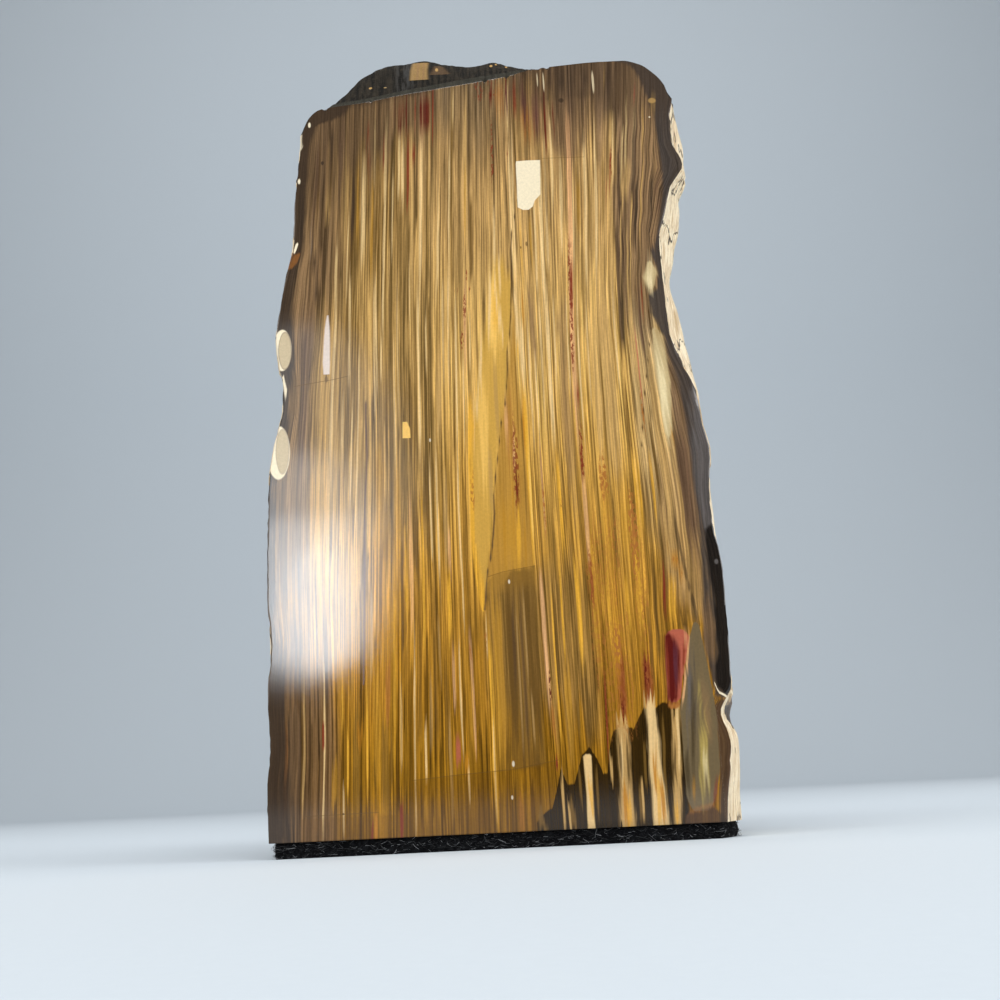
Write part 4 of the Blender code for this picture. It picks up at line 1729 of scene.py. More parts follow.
# Streaks of the upper third.
UPPER_MARKS = [
    *streaks(M.PALE_TAN, 0.8, 0.6, (-24.3, 95, -23.1, 124), (-27.3, 103, -26.6, 117)),
    *streaks(M.UMBER, 0.7, 0.6, (-23.1, 92, -22.2, 110), (-26.5, 104, -25.9, 121), (-28.6, 100, -28.2, 120)),
    *streaks(M.CREAM, 1.0, 0.8, (-21.4, 92, -20.2, 118)),
    *streaks(M.AMBER, 0.6, 0.5, (-22.0, 96, -21.6, 113), (-19.6, 90, -19.2, 110)),
    *streaks(M.CREAM, 0.55, 0.75, (-17.8, 88, -16.4, 124), (-14.9, 106, -14.2, 121), (-25.9, 84, -25.4, 98)),
    *streaks(M.CREAM, 0.3, 0.7, (-23.9, 88, -23.3, 104), (-18.9, 108, -18.5, 123), (-16.1, 92, -15.8, 112)),
    *streaks(M.UMBER, 0.35, 0.6, (-18.9, 96, -18.3, 110), (-15.3, 98, -14.9, 116), (-20.0, 100, -19.9, 113)),
    *streaks(M.CREAM, 0.55, 0.85, (-13.9, 103, -14.1, 120), (-11.9, 86, -10.4, 119)),
    *streaks(M.PALE_TAN, 0.7, 0.75, (-12.7, 86, -12.4, 121), (-9.6, 92, -8.6, 112)),
    *streaks(M.CREAM, 0.5, 0.7, (-9.0, 86, -7.7, 110), (-5.2, 119, -4.9, 127)),
    *streaks(M.CREAM, 0.34, 0.9, (-6.9, 88, -5.5, 119)),
    *streaks(M.OLIVE, 0.3, 0.75, (-6.4, 90, -5.2, 119), (-5.3, 114, -5.1, 127), (-10.2, 90, -9.9, 112)),
    *streaks(M.PALE_TAN, 0.9, 0.7, (-3.9, 92, -2.6, 127)),
    *streaks(M.GOLD, 0.5, 0.4, (-3.8, 96, -3.1, 116), (5.5, 88, 5.7, 102), (7.2, 90, 7.2, 102)),
    *streaks(M.UMBER, 0.6, 0.75, (-3.0, 90, -2.5, 106), frayed=False),
    *streaks(M.CREAM, 0.6, 0.8, (0.9, 86, 1.3, 105), (3.6, 88, 4.9, 118), (4.0, 118, 5.2, 128)),
    *streaks(M.CREAM, 0.4, 0.85, (4.0, 86, 5.4, 118), (7.7, 86, 8.3, 105)),
    *streaks(M.CREAM, 0.7, 0.95, (8.7, 84, 9.7, 112)),
    *streaks(M.CREAM, 0.4, 0.85, (9.9, 90, 10.6, 118), (11.2, 100, 11.9, 124), (12.4, 92, 12.9, 110)),
    *streaks(M.UMBER, 0.3, 0.6, (10.2, 96, 10.7, 128), (5.0, 104, 5.7, 122), (11.8, 118, 12.2, 130)),
    *streaks(M.PEACH, 0.85, 0.85, (13.5, 84, 14.3, 108), (13.9, 96, 14.9, 123)),
    *streaks(M.CREAM, 0.3, 0.75, (14.4, 92, 14.8, 107), (12.9, 100, 13.2, 113)),
    *streaks(M.CREAM, 0.6, 0.85, (16.2, 84, 17.2, 118), (18.0, 86, 19.1, 120)),
    *streaks(M.PALE_TAN, 1.2, 0.6, (17.4, 90, 18.2, 116), (19.6, 92, 20.2, 108)),
    *streaks(M.PALE_TAN, 0.8, 0.95, (20.5, 74, 21.4, 106), (21.2, 100, 22.2, 121)),
    *streaks(M.ROSE, 0.4, 0.7, (23.4, 66, 23.6, 82), (26.6, 121, 26.9, 125.5)),
    *streaks(M.OLIVE, 0.35, 0.7, (19.6, 96, 20.3, 113), (17.2, 92, 17.6, 110), (15.3, 96, 15.6, 112)),
    *streaks(M.AMBER, 0.9, 0.5, (15.6, 98, 15.9, 108)),
    *streaks(M.CREAM, 0.4, 0.7, (23.2, 106, 24.4, 118), (22.0, 106, 22.5, 119), (24.3, 106, 25.2, 125)),
    *streaks(M.CREAM, 0.6, 0.8, (25.0, 104, 26.7, 122.5)),
    *streaks(M.PALE_TAN, 2.4, 0.65, (23.4, 103, 24.4, 111.5), soft=0.7),
    *streaks(M.GREY_BROWN, 0.8, 0.8, (25.4, 92, 27.6, 114), (28.6, 104, 28.9, 118)),
    *streaks(M.DARK_MAUVE, 0.9, 0.9, (24.2, 96, 26.9, 123), (21.0, 72, 22.6, 103), (22.4, 86, 23.3, 118)),
    *streaks(M.SKIN, 0.8, 0.85, (24.6, 92, 26.4, 110), (27.0, 92, 28.6, 112), (22.9, 84, 23.6, 97),
        (21.6, 76, 21.9, 90)),
    *streaks(M.SKIN, 1.6, 0.8, (28.4, 96, 30.4, 119), soft=0.5),
    *streaks(M.TAN, 0.6, 0.9, (25.7, 97, 26.9, 110), (27.4, 112, 27.9, 124)),
    *streaks(M.PALE_TAN, 0.45, 0.95, (24.0, 94, 24.9, 106), (23.2, 70, 23.6, 99)),
    *streaks(M.MAUVE, 0.8, 0.9, (24.6, 72, 24.8, 90), (28.4, 98, 28.9, 110)),
    *streaks(M.PALE_TAN, 0.4, 0.75, (23.4, 84, 24.5, 102), (22.3, 92, 22.8, 103)),
    *streaks(M.SKIN, 1.2, 0.6, (14, 124.5, 14, 130), (18.6, 125, 18.6, 131), (22.5, 124, 22.5, 131)),
    *streaks(M.TAN, 0.4, 0.6, (12.0, 124, 12.0, 127.5), (15.0, 125, 15.0, 127.5), (21.7, 125, 21.9, 130)),
]

# Streaks of the middle third.
MIDDLE_MARKS = [
    *streaks(M.PALE_TAN, 1.8, 0.6, (-27.0, 44, -26.6, 72), soft=0.7),
    *streaks(M.MAUVE, 0.4, 0.8, (-31.3, 58, -31.2, 66)),
    *streaks(M.DARK_MAUVE, 0.8, 0.6, (-30.0, 70, -29.3, 92)),
    *streaks(M.TAN, 0.8, 0.6, (-28.4, 60, -28.0, 90)),
    *streaks(M.CREAM, 0.5, 0.7, (-26.3, 58, -25.8, 92), (-23.1, 72, -23.6, 94), (-24.6, 58, -24.9, 74)),
    *streaks(M.CREAM, 0.3, 0.75, (-23.9, 50, -22.8, 73), (-22.9, 48, -21.6, 82), (-19.1, 64, -19.6, 92)),
    *streaks(M.OLIVE, 1.0, 0.5, (-24.3, 64, -24.3, 90), (-22.6, 60, -22.3, 88)),
    *streaks(M.CREAM, 0.45, 0.85, (-18.6, 71, -17.8, 84), (-17.9, 80, -17.6, 94), (-18.6, 71, -19.4, 92)),
    *streaks(M.UMBER, 0.6, 0.65, (-18.1, 54, -17.1, 78), (-13.9, 58, -13.6, 76), (-11.6, 42, -11.4, 60)),
    *streaks(M.AMBER, 1.4, 0.5, (-16.6, 30, -16.2, 62), (-18.9, 44, -19.2, 66)),
    *streaks(M.CREAM, 0.25, 0.7, (-15.4, 66, -15.6, 92), (-16.3, 58, -16.2, 84), (-13.3, 82, -13.4, 96)),
    *streaks(M.PEACH, 0.6, 0.6, (-14.2, 30, -14.2, 56)),
    *streaks(M.CREAM, 0.5, 0.95, (-12.2, 58, -12.0, 94)),
    *streaks(M.GOLD, 0.4, 0.85, (-12.9, 24, -12.2, 60)),
    *streaks(M.CREAM, 0.35, 0.7, (-10.7, 75, -11.0, 88), (-8.1, 74, -7.9, 92), (-7.3, 72, -6.9, 92)),
    *streaks(M.UMBER, 0.45, 0.7, (-10.5, 75, -10.4, 88), (-6.9, 57, -6.5, 72), (-6.4, 78, -6.4, 90),
        (-13.3, 36, -13.3, 58)),
    *streaks(M.PALE_TAN, 1.0, 0.65, (-9.4, 62, -8.8, 80), (-8.6, 42, -8.7, 58)),
    *streaks(M.CREAM, 0.34, 0.95, (-6.5, 60, -5.8, 88)),
    *streaks(M.CREAM, 0.4, 0.8, (-6.4, 38, -6.6, 62), (-9.9, 36, -9.8, 64), (-10.9, 42, -10.9, 60)),
    *streaks(M.PEACH, 0.6, 0.7, (-4.4, 74, -4.2, 90)),
    *streaks(M.GOLD, 0.9, 0.9, (-4.3, 40, -4.4, 74)),
    *streaks(M.CREAM, 0.3, 0.7, (-4.1, 74, -3.1, 86), (-5.2, 60, -5.0, 78)),
    *streaks(M.CREAM, 0.9, 0.85, (4.4, 73, 3.9, 92)),
    *streaks(M.CREAM, 0.8, 0.9, (5.2, 69, 4.5, 84)),
    *streaks(M.GREY_BROWN, 1.5, 0.85, (6.9, 74, 6.5, 90), soft=0.7),
    *streaks(M.CREAM, 0.4, 0.75, (7.9, 64, 7.9, 88), (6.0, 60, 5.8, 84), (6.9, 62, 6.7, 76)),
    *streaks(M.UMBER, 0.4, 0.6, (7.3, 58, 7.2, 76), (6.2, 30, 6.2, 58), (8.4, 46, 8.4, 70), (7.9, 30, 8.1, 50)),
    *streaks(M.PEACH, 0.4, 0.7, (6.9, 44, 6.8, 62)),
    *streaks(M.OLIVE, 2.2, 0.6, (7.6, 36, 7.6, 58), soft=0.7),
    *streaks(M.CREAM, 0.75, 0.95, (9.4, 58, 8.9, 92)),
    *streaks(M.GOLD, 0.7, 0.85, (9.6, 42, 9.4, 62)),
    *streaks(M.UMBER, 0.3, 0.75, (9.9, 56, 9.8, 92), (10.3, 44, 10.2, 60)),
    *streaks(M.CREAM, 0.32, 0.85, (10.4, 68, 10.2, 90)),
    *streaks(M.GREY_BROWN, 2.2, 0.7, (11.8, 48, 11.7, 92), soft=0.6),
    *streaks(M.PEACH, 1.0, 0.85, (13.4, 57, 13.4, 94)),
    *streaks(M.CREAM, 0.4, 0.95, (14.3, 60, 14.3, 90)),
    *streaks(M.PALE_TAN, 3.2, 0.75, (18.7, 54, 18.7, 92), soft=0.5),
    *streaks(M.CREAM, 0.3, 0.75, (15.6, 64, 15.9, 90), (12.5, 70, 12.5, 90)),
    *streaks(M.PALE_TAN, 1.3, 0.8, (16.8, 56, 16.6, 84)),
    *streaks(M.OLIVE, 0.4, 0.8, (17.5, 50, 17.5, 82), (15.0, 52, 15.1, 76), (20.9, 74, 21.0, 90)),
    *streaks(M.CREAM, 0.45, 0.7, (20.3, 70, 20.4, 90)),
    *streaks(M.UMBER, 0.8, 0.85, (21.4, 56, 20.8, 74), (25.0, 50, 24.5, 66)),
    *streaks(M.UMBER, 0.6, 0.6, (22.2, 62, 22.3, 80), (22.7, 42, 22.6, 56), (23.9, 44, 24.0, 58)),
    *streaks(M.PALE_TAN, 0.5, 0.85, (23.3, 68, 23.5, 90)),
    *streaks(M.TAN, 1.5, 0.8, (26.2, 44, 25.5, 78)),
    *streaks(M.PALE_TAN, 0.8, 0.7, (25.9, 46, 25.5, 70)),
    *streaks(M.GOLD, 0.5, 0.75, (21.6, 44, 21.2, 60), (24.3, 46, 24.0, 60), (22.0, 46, 22.0, 60)),
    *streaks(M.AMBER, 2.0, 0.6, (16.3, 42, 16.3, 58), (19.4, 40, 19.4, 56), soft=0.7),
    *streaks(M.UMBER, 0.6, 0.85, (17.8, 38, 17.6, 54)),
    *streaks(M.MAUVE, 2.6, 0.7, (29.2, 40, 29.2, 64), soft=0.6),
    *streaks(M.BROWN, 1.4, 0.7, (30.6, 67, 28.8, 80)),
    line(M.BARK, ((31, 29.4), (35, 28.9), (40, 28.0), (45, 27.3), (50, 26.9), (57, 26.5), (62, 26.3)), 0.5, 0.6),
    *streaks(M.TAN, 0.6, 0.75, (28.9, 36, 27.8, 57)),
]

# Streaks of the lower third.
LOWER_MARKS = [
    *streaks(M.BROWN, 1.9, 0.6, (-32.7, 3, -32.4, 24), soft=0.5),
    *streaks(M.RUST, 0.6, 0.6, (-33.6, 6, -33.9, 21)),
    *streaks(M.UMBER, 0.22, 0.8, (-31.6, 5, -31.2, 28), frayed=False),
    *streaks(M.PALE_TAN, 0.35, 0.7, (-31.4, 4, -30.8, 30)),
    *streaks(M.CREAM, 0.35, 0.85, (-28.7, 2, -27.4, 31), (-25.2, 2, -25.1, 10)),
    *streaks(M.GOLD, 0.5, 0.8, (-25.1, 16, -25.2, 30), (-24.4, 8, -24.6, 19), (-21.6, 6, -21.5, 26)),
    *streaks(M.AMBER, 1.4, 0.6, (-26.5, 6, -26.4, 14), (-19.9, 8, -20.0, 30)),
    *streaks(M.OLIVE, 1.6, 0.6, (-23.2, 4, -23.1, 24), (-18.8, 4, -19.0, 22), soft=0.6),
    *streaks(M.ORANGE, 0.9, 0.6, (-22.8, 14.5, -22.5, 19)),
    *streaks(M.RUST, 1.0, 0.7, (-18.3, 18, -18.2, 29)),
    *streaks(M.GOLD, 0.55, 0.7, (-17.3, 10, -17.1, 46), (-15.1, 32, -15.0, 50)),
    *streaks(M.PALE_TAN, 0.5, 0.75, (-16.4, 10, -16.4, 26), (-20.6, 22, -20.7, 40)),
    *streaks(M.UMBER, 0.35, 0.7, (-15.9, 26, -15.8, 44), (-17.9, 10, -17.9, 22)),
    *streaks(M.CREAM, 0.32, 0.8, (-14.2, 2, -14.3, 34), (-12.6, 9, -12.9, 19)),
    *streaks(M.UMBER, 1.0, 0.5, (-13.5, 12, -13.5, 44), (-11.2, 12, -11.1, 42), (-9.4, 10, -9.5, 30)),
    *streaks(M.TAN, 0.5, 0.6, (-11.9, 12, -11.9, 30), (-10.2, 24, -10.3, 36), (-9.0, 4, -9.2, 22)),
    *streaks(M.GOLD, 0.85, 0.9, (-8.6, 30, -8.6, 42)),
    *streaks(M.PEACH, 0.6, 0.7, (-8.0, 18, -8.4, 32), (-5.3, 14, -5.7, 33), (-8.2, 40, -8.2, 48)),
    *streaks(M.CREAM, 0.35, 0.7, (-6.3, 5, -6.8, 12), (-7.3, 14, -7.3, 30), (-6.3, 32, -6.5, 46)),
    *streaks(M.DARK_AMBER, 1.5, 0.7, (-4.3, 14, -4.2, 34), soft=0.6),
    Patch(M.GOLD, ((35, -3.6), (38, -4.2), (46, -4.7)), ((35, -3.1), (40, -3.0), (46, -3.7)), 0.8),
    *streaks(M.GOLD, 0.8, 0.95, (-2.4, 0, -3.0, 35)),
    *streaks(M.CREAM, 0.3, 0.6, (-3.1, 28, -3.0, 35), (-2.5, 4, -2.8, 20)),
    *streaks(M.GOLD, 0.35, 0.8, (-1.7, 12, -1.9, 33), (7.3, 12, 7.4, 40), (8.6, 24, 8.8, 44)),
    *streaks(M.PEACH, 0.8, 0.95, (6.3, 18, 5.4, 43)),
    *streaks(M.UMBER, 0.25, 0.8, (6.7, 22, 6.0, 42), frayed=False),
    *streaks(M.GOLD, 1.0, 0.9, (11.1, 24, 11.2, 44)),
    *streaks(M.OLIVE, 0.6, 0.8, (12.3, 26, 12.3, 46), (10.2, 14, 10.3, 34), (9.6, 30, 9.7, 46)),
    *streaks(M.AMBER, 1.2, 0.7, (13.7, 26, 13.6, 50), (8.9, 12, 8.9, 28), (20.7, 28, 20.6, 46)),
    *streaks(M.PEACH, 0.9, 0.7, (13.4, 40, 13.4, 58)),
    *streaks(M.GOLD, 0.7, 0.6, (15.9, 26, 15.9, 42), (20.8, 30, 20.7, 46), (18.9, 28, 18.9, 40)),
    *streaks(M.UMBER, 0.9, 0.75, (22.0, 22, 21.7, 36), (23.2, 26, 22.9, 44)),
    *streaks(M.UMBER, 2.2, 0.85, (27.4, 30, 27.2, 35.5), soft=0.6),
    *streaks(M.GOLD, 1.4, 0.7, (25.3, 31, 26.4, 39.5)),
    *streaks(M.TAN, 1.5, 0.8, (26.0, 38, 26.0, 50)),
    *streaks(M.AMBER, 0.7, 0.6, (-13.1, 3, -13.1, 8), (3.6, 10, 3.7, 20), (-5.9, 12, -5.6, 26)),
    *streaks(M.UMBER, 0.5, 0.8, (-1.3, 1, -1.0, 9), (-9.0, 1, -9.0, 5), (-0.3, 1, -0.2, 6)),
    *streaks(M.RUST, 0.9, 0.5, (0.8, 1, 1.0, 8)),
]

# Dark comb with pale teeth at the lower right, and the banded agate beside it.
COMB_MARKS = [
    Patch(M.COMB, ((3.2, 0), (25.5, 0)), ((3.2, 4.0), (4, 4.5), (5.5, 5.5), (6.3, 8), (7.1, 11), (8, 8.7),
        (9, 8.7), (10.3, 12.8), (11.5, 13.9), (12.5, 12.2), (13.3, 9.9), (13.9, 10.1), (14.4, 13.2), (15.2, 16.1),
        (17, 16.8), (18.3, 16.3), (20, 19.2), (21.5, 19), (23, 20), (25.5, 19)), 0.95, soft=0.2, across=True),
    *streaks(M.OLIVE, 1.2, 0.8, (4.2, 1.5, 4.0, 4.6), (8.4, 2, 8.6, 7), (18.6, 2, 18.7, 9)),
    *streaks(M.OLIVE, 0.5, 0.7, (22.6, 6, 22.7, 19), (12.2, 4, 12.4, 12), (9.7, 4, 9.9, 11), (19.6, 6, 19.7, 16)),
    *streaks(M.PALE_TAN, 0.5, 0.9, (7.3, 1.5, 7.1, 10.5), (8.1, 1.5, 7.9, 6), (18.9, 2, 18.9, 9.5),
        (14.5, 9, 14.6, 13.3)),
    Patch(M.CREAM, ((1.5, 10.5), (6, 10.6), (12.9, 10.5)), ((1.5, 11.7), (6, 11.6), (12.9, 11.75)), 0.95,
        soft=0.15),
    Patch(M.PALE_TAN, ((1.5, 15.4), (8, 15.7), (18, 15.9)), ((1.5, 17.6), (8, 17.4), (18, 17.5)), 0.85, soft=0.4,
        frayed=True),
    Patch(M.CREAM, ((1.5, 20.3), (12, 20.2), (21, 20.4)), ((1.5, 22.6), (12, 22.0), (21, 21.6)), 0.92, soft=0.3,
        frayed=True),
    Patch(M.PALE_TAN, ((1.5, 23.2), (12, 23.6), (19.4, 24.3)), ((1.5, 24.3), (12, 24.8), (19.4, 25.4)), 0.9,
        soft=0.3, frayed=True),
    *streaks(M.CREAM, 0.5, 0.85, (24.6, 10, 25.0, 19.5), (16.0, 8, 16.4, 15.5), (20.7, 10, 20.8, 20)),
    *streaks(M.COMB, 0.45, 0.7, (15.9, 9, 16.2, 16), (17.0, 6, 17.1, 15), (20.1, 12, 20.2, 18),
        (23.9, 8, 24.3, 15)),
    *streaks(M.ORANGE, 1.0, 0.9, (16.3, 1.5, 16.3, 8.3), (22.2, 1.8, 21.3, 9), (21.2, 7, 20.9, 13.5)),
    *streaks(M.GOLD, 0.9, 0.7, (16.9, 1.5, 16.6, 6.5), (21.2, 1.5, 21.2, 9), (23.6, 1.5, 23.7, 6),
        (11.2, 4, 11.3, 9)),
    Patch(M.AGATE, ((4.0, 26.2), (6, 25.3), (12, 25.3), (19, 25.5), (25, 26.9), (30.5, 28), (32, 28.8)),
        ((4.0, 28.5), (6, 29.6), (10, 30.6), (18, 30.9), (25, 30.2), (32, 29.3)), 0.97, soft=0.12),
    *glows(M.SLATE, 1.7, 0.75, (26.7, 14, 27.7, 29), soft=0.9),
    *glows(M.GREY_BROWN, 1.6, 0.6, (29.5, 11, 29.2, 25), soft=0.9),
    *glows(M.AGATE_DARK, 1.0, 0.8, (26.3, 6, 28.0, 27), (25.6, 5, 25.7, 13), soft=0.8),
    *glows(M.AGATE_GOLD, 1.9, 0.85, (27.9, 4.8, 28.9, 18.5), soft=0.95),
    *glows(M.PALE_LENS, 0.9, 0.6, (28.3, 7, 28.7, 13), soft=0.95),
    *glows(M.AGATE_GOLD, 0.6, 0.5, (28.3, 16, 28.7, 24), soft=0.9),
    *glows(M.RED, 0.8, 0.6, (29.2, 4.6, 30.1, 9.5), soft=0.9),
    *glows(M.DARK_AMBER, 0.6, 0.5, (26.3, 5, 26.6, 9), soft=0.9),
    Patch(M.RUST, ((24.8, 1), (30, 1)), ((24.8, 3.2), (26.5, 4.6), (29, 5.2), (30, 3)), 0.35, soft=0.3,
        across=True),
    Patch(M.BARK, ((24.8, 0), (31, 0)), ((24.8, 3.4), (26.5, 3.9), (29, 4.6), (31, 3)), 0.75, soft=0.4,
        across=True),
]

# Iron-red stains and specks.
RED_MARKS = [
    *streaks(M.RED, 2.4, 0.45, (-14.0, 119, -14.0, 126), (-10.0, 118, -9.6, 126.5), soft=0.9),
    *streaks(M.CRIMSON, 1.4, 0.8, (-13.9, 119.8, -13.9, 122.4), (-9.6, 118.5, -9.4, 125.5), soft=0.3),
    *streaks(M.CRIMSON, 0.55, 0.95, (-10.9, 117, -10.2, 126.8), (1.8, 123.5, 1.8, 128.5), (4.4, 121, 4.5, 128.6)),
    *streaks(M.CRIMSON, 0.4, 0.9, (-13.3, 117, -12.9, 127), (10.9, 112, 11.2, 128), (12.2, 116, 12.5, 121)),
    *streaks(M.RED, 0.6, 0.85, (-13.3, 104, -12.8, 120), (-12.1, 110.5, -11.9, 116), (5.9, 120, 5.9, 128.6)),
    *streaks(M.RED, 0.35, 0.85, (-8.6, 116, -8.3, 126), (-11.6, 119, -11.4, 126.5), (-17.3, 111, -17.1, 117)),
    *streaks(M.PURPLE, 2.2, 0.55, (9.3, 115, 9.6, 127), (7.4, 119, 7.6, 128), (4.4, 121, 4.6, 127), soft=0.9),
    *streaks(M.RED, 2.4, 0.8, (-0.3, 124.3, -0.3, 128.6), (2.0, 125.6, 2.1, 128.6), spotted=True),
    *streaks(M.RUST, 3.0, 0.5, (3.2, 121.5, 3.3, 126.5), (7.5, 117, 8.0, 121)),
    *streaks(M.RED, 0.55, 0.8, (1.3, 106, 1.6, 121), (21.6, 106.5, 21.9, 114.5), (4.2, 112, 4.2, 115),
        spotted=True),
    *streaks(M.RED, 0.8, 0.7, (-19.8, 110.5, -19.6, 114.3), (-19.9, 116, -19.6, 119.5), blunt=2),
    *streaks(M.RED, 1.6, 0.9, (-5.7, 86.9, -5.6, 88.9), (-3.8, 88.6, -3.6, 91.2), spotted=True),
    *streaks(M.RED, 0.9, 0.9, (-5.0, 77, -4.8, 83), (-4.4, 83, -4.3, 87), spotted=True),
    *streaks(M.RUST, 0.7, 0.8, (-4.9, 79, -4.8, 81.4), (-4.3, 50.5, -4.3, 57.5), spotted=True),
    *streaks(M.RED, 0.6, 0.75, (13.4, 82, 13.6, 95)),
    *streaks(M.RED, 0.8, 0.9, (13.3, 54, 13.4, 64), (13.4, 70, 13.4, 100), (13.5, 34, 13.4, 44), spotted=True),
    *streaks(M.RED, 0.5, 0.7, (24.9, 83, 25.2, 90), (20.4, 103, 20.6, 108), (21.4, 106, 21.9, 115)),
    *streaks(M.RUST, 1.7, 0.95, (16.4, 51, 16.6, 60), (16.6, 24, 17.0, 34), (20.5, 36, 20.7, 54), spotted=True),
    *streaks(M.RUST, 0.6, 0.6, (16.2, 51.5, 16.4, 57), (20.6, 41, 20.7, 48)),
    *streaks(M.RUST, 0.5, 0.8, (23.4, 62, 23.4, 72), (9.6, 51, 9.5, 54), (6.9, 45, 6.8, 56), (-5.6, 26, -5.6, 30),
        (-3.2, 29.5, -3.2, 33.5), (-4.2, 38, -4.1, 40), spotted=True),
    *streaks(M.RUST, 5.5, 0.5, (16.5, 14, 16.5, 34), (16, 34, 16, 50), spotted=True, soft=0.6),
    *streaks(M.RUST, 2.2, 0.5, (21, 20, 21, 48), (13.7, 22, 13.7, 46), spotted=True, soft=0.6),
    *streaks(M.RED, 0.4, 0.9, (14.2, 13, 14.5, 24)),
    *streaks(M.RED, 0.9, 0.75, (16.9, 18, 17.1, 27.5), spotted=True),
    *streaks(M.CRIMSON, 1.0, 0.8, (16.8, 18, 16.9, 20.8)),
    Patch(M.RED, ((20.2, 20.5), (23, 20.3), (27.6, 20.4)), ((20.2, 21.2), (22, 21.5), (25, 21.6), (27.6, 21.2)),
        0.8, soft=0.5, frayed=True),
    Patch(M.RED, ((18.0, 16.5), (22, 16.6), (28, 16.7)), ((18.0, 17.2), (20, 17.6), (24, 17.5), (28, 17.2)), 0.7,
        soft=0.5, frayed=True),
    *streaks(M.RED, 0.5, 0.85, (13.2, 56.5, 13.3, 61.5), (13.5, 35, 13.6, 42), (13.3, 66, 13.3, 69),
        (13.5, 86, 13.7, 93)),
    *streaks(M.RED, 1.5, 0.9, (20.8, 20.5, 21.0, 27.5), spotted=True),
    *streaks(M.CRIMSON, 1.0, 0.95, (20.6, 21.5, 20.9, 27)),
    *streaks(M.CRIMSON, 0.5, 0.9, (24.3, 31, 24.8, 39), (16.7, 18.2, 16.9, 22)),
    *streaks(M.RED, 0.5, 0.85, (24.4, 30.5, 24.9, 40.5)),
    *streaks(M.ORANGE, 1.2, 0.7, (27.6, 38.6, 25.6, 44.4)),
    *streaks(M.RUST, 0.7, 0.9, (27.6, 38.8, 25.8, 43.8), spotted=True),
    Patch(M.RUST, ((18.8, 23.7), (20, 23.8)), ((18.8, 25.4), (20, 25.6)), 0.9),
    Patch(M.ROSE, ((19.9, 23.8), (26, 23.8), (30.3, 24.2), (30.8, 25.6)), ((19.9, 25.6), (23, 26.1), (26, 26.9),
        (29, 27.8), (30.8, 27.9)), 1.0),
    Patch(M.CRIMSON, ((19.9, 23.8), (26, 23.8), (30.4, 24.1)), ((19.9, 25.2), (23, 25.5), (26, 26.1), (28, 26.0),
        (30.4, 25.0)), 1.0, soft=0.5),
    *glows(M.PURPLE, 1.0, 0.9, (25.1, 21, 25.6, 29.5), soft=0.8),
    *glows(M.RED, 0.5, 0.8, (24.1, 20, 24.2, 30), (26.3, 24, 27.0, 29), soft=0.8),
    *glows(M.PEACH, 0.7, 0.9, (27.3, 29.2, 27.3, 31), soft=0.7),
    *streaks(M.PEACH, 0.35, 0.8, (25.8, 19, 27.9, 30), frayed=False, straight=True),
    *streaks(M.RED, 0.6, 0.9, (-21.0, 1, -20.9, 5.4), (-16.7, 1.2, -16.7, 7)),
    *streaks(M.ORANGE, 0.7, 0.85, (-20.3, 1.5, -20.3, 7.5), (-6.8, 10.5, -6.8, 13.4)),
    *streaks(M.ROSE, 0.9, 0.85, (-7.9, 10.8, -8.0, 16.8)),
    *streaks(M.CRIMSON, 0.5, 0.9, (6.2, 20, 6.2, 26.5), spotted=True),
    *streaks(M.RED, 0.4, 0.9, (6.5, 11, 6.5, 12.6), (-28.1, 15.3, -28.0, 19.5), frayed=False),
    *streaks(M.RUST, 0.7, 0.7, (6.4, 15, 6.3, 21)),
]

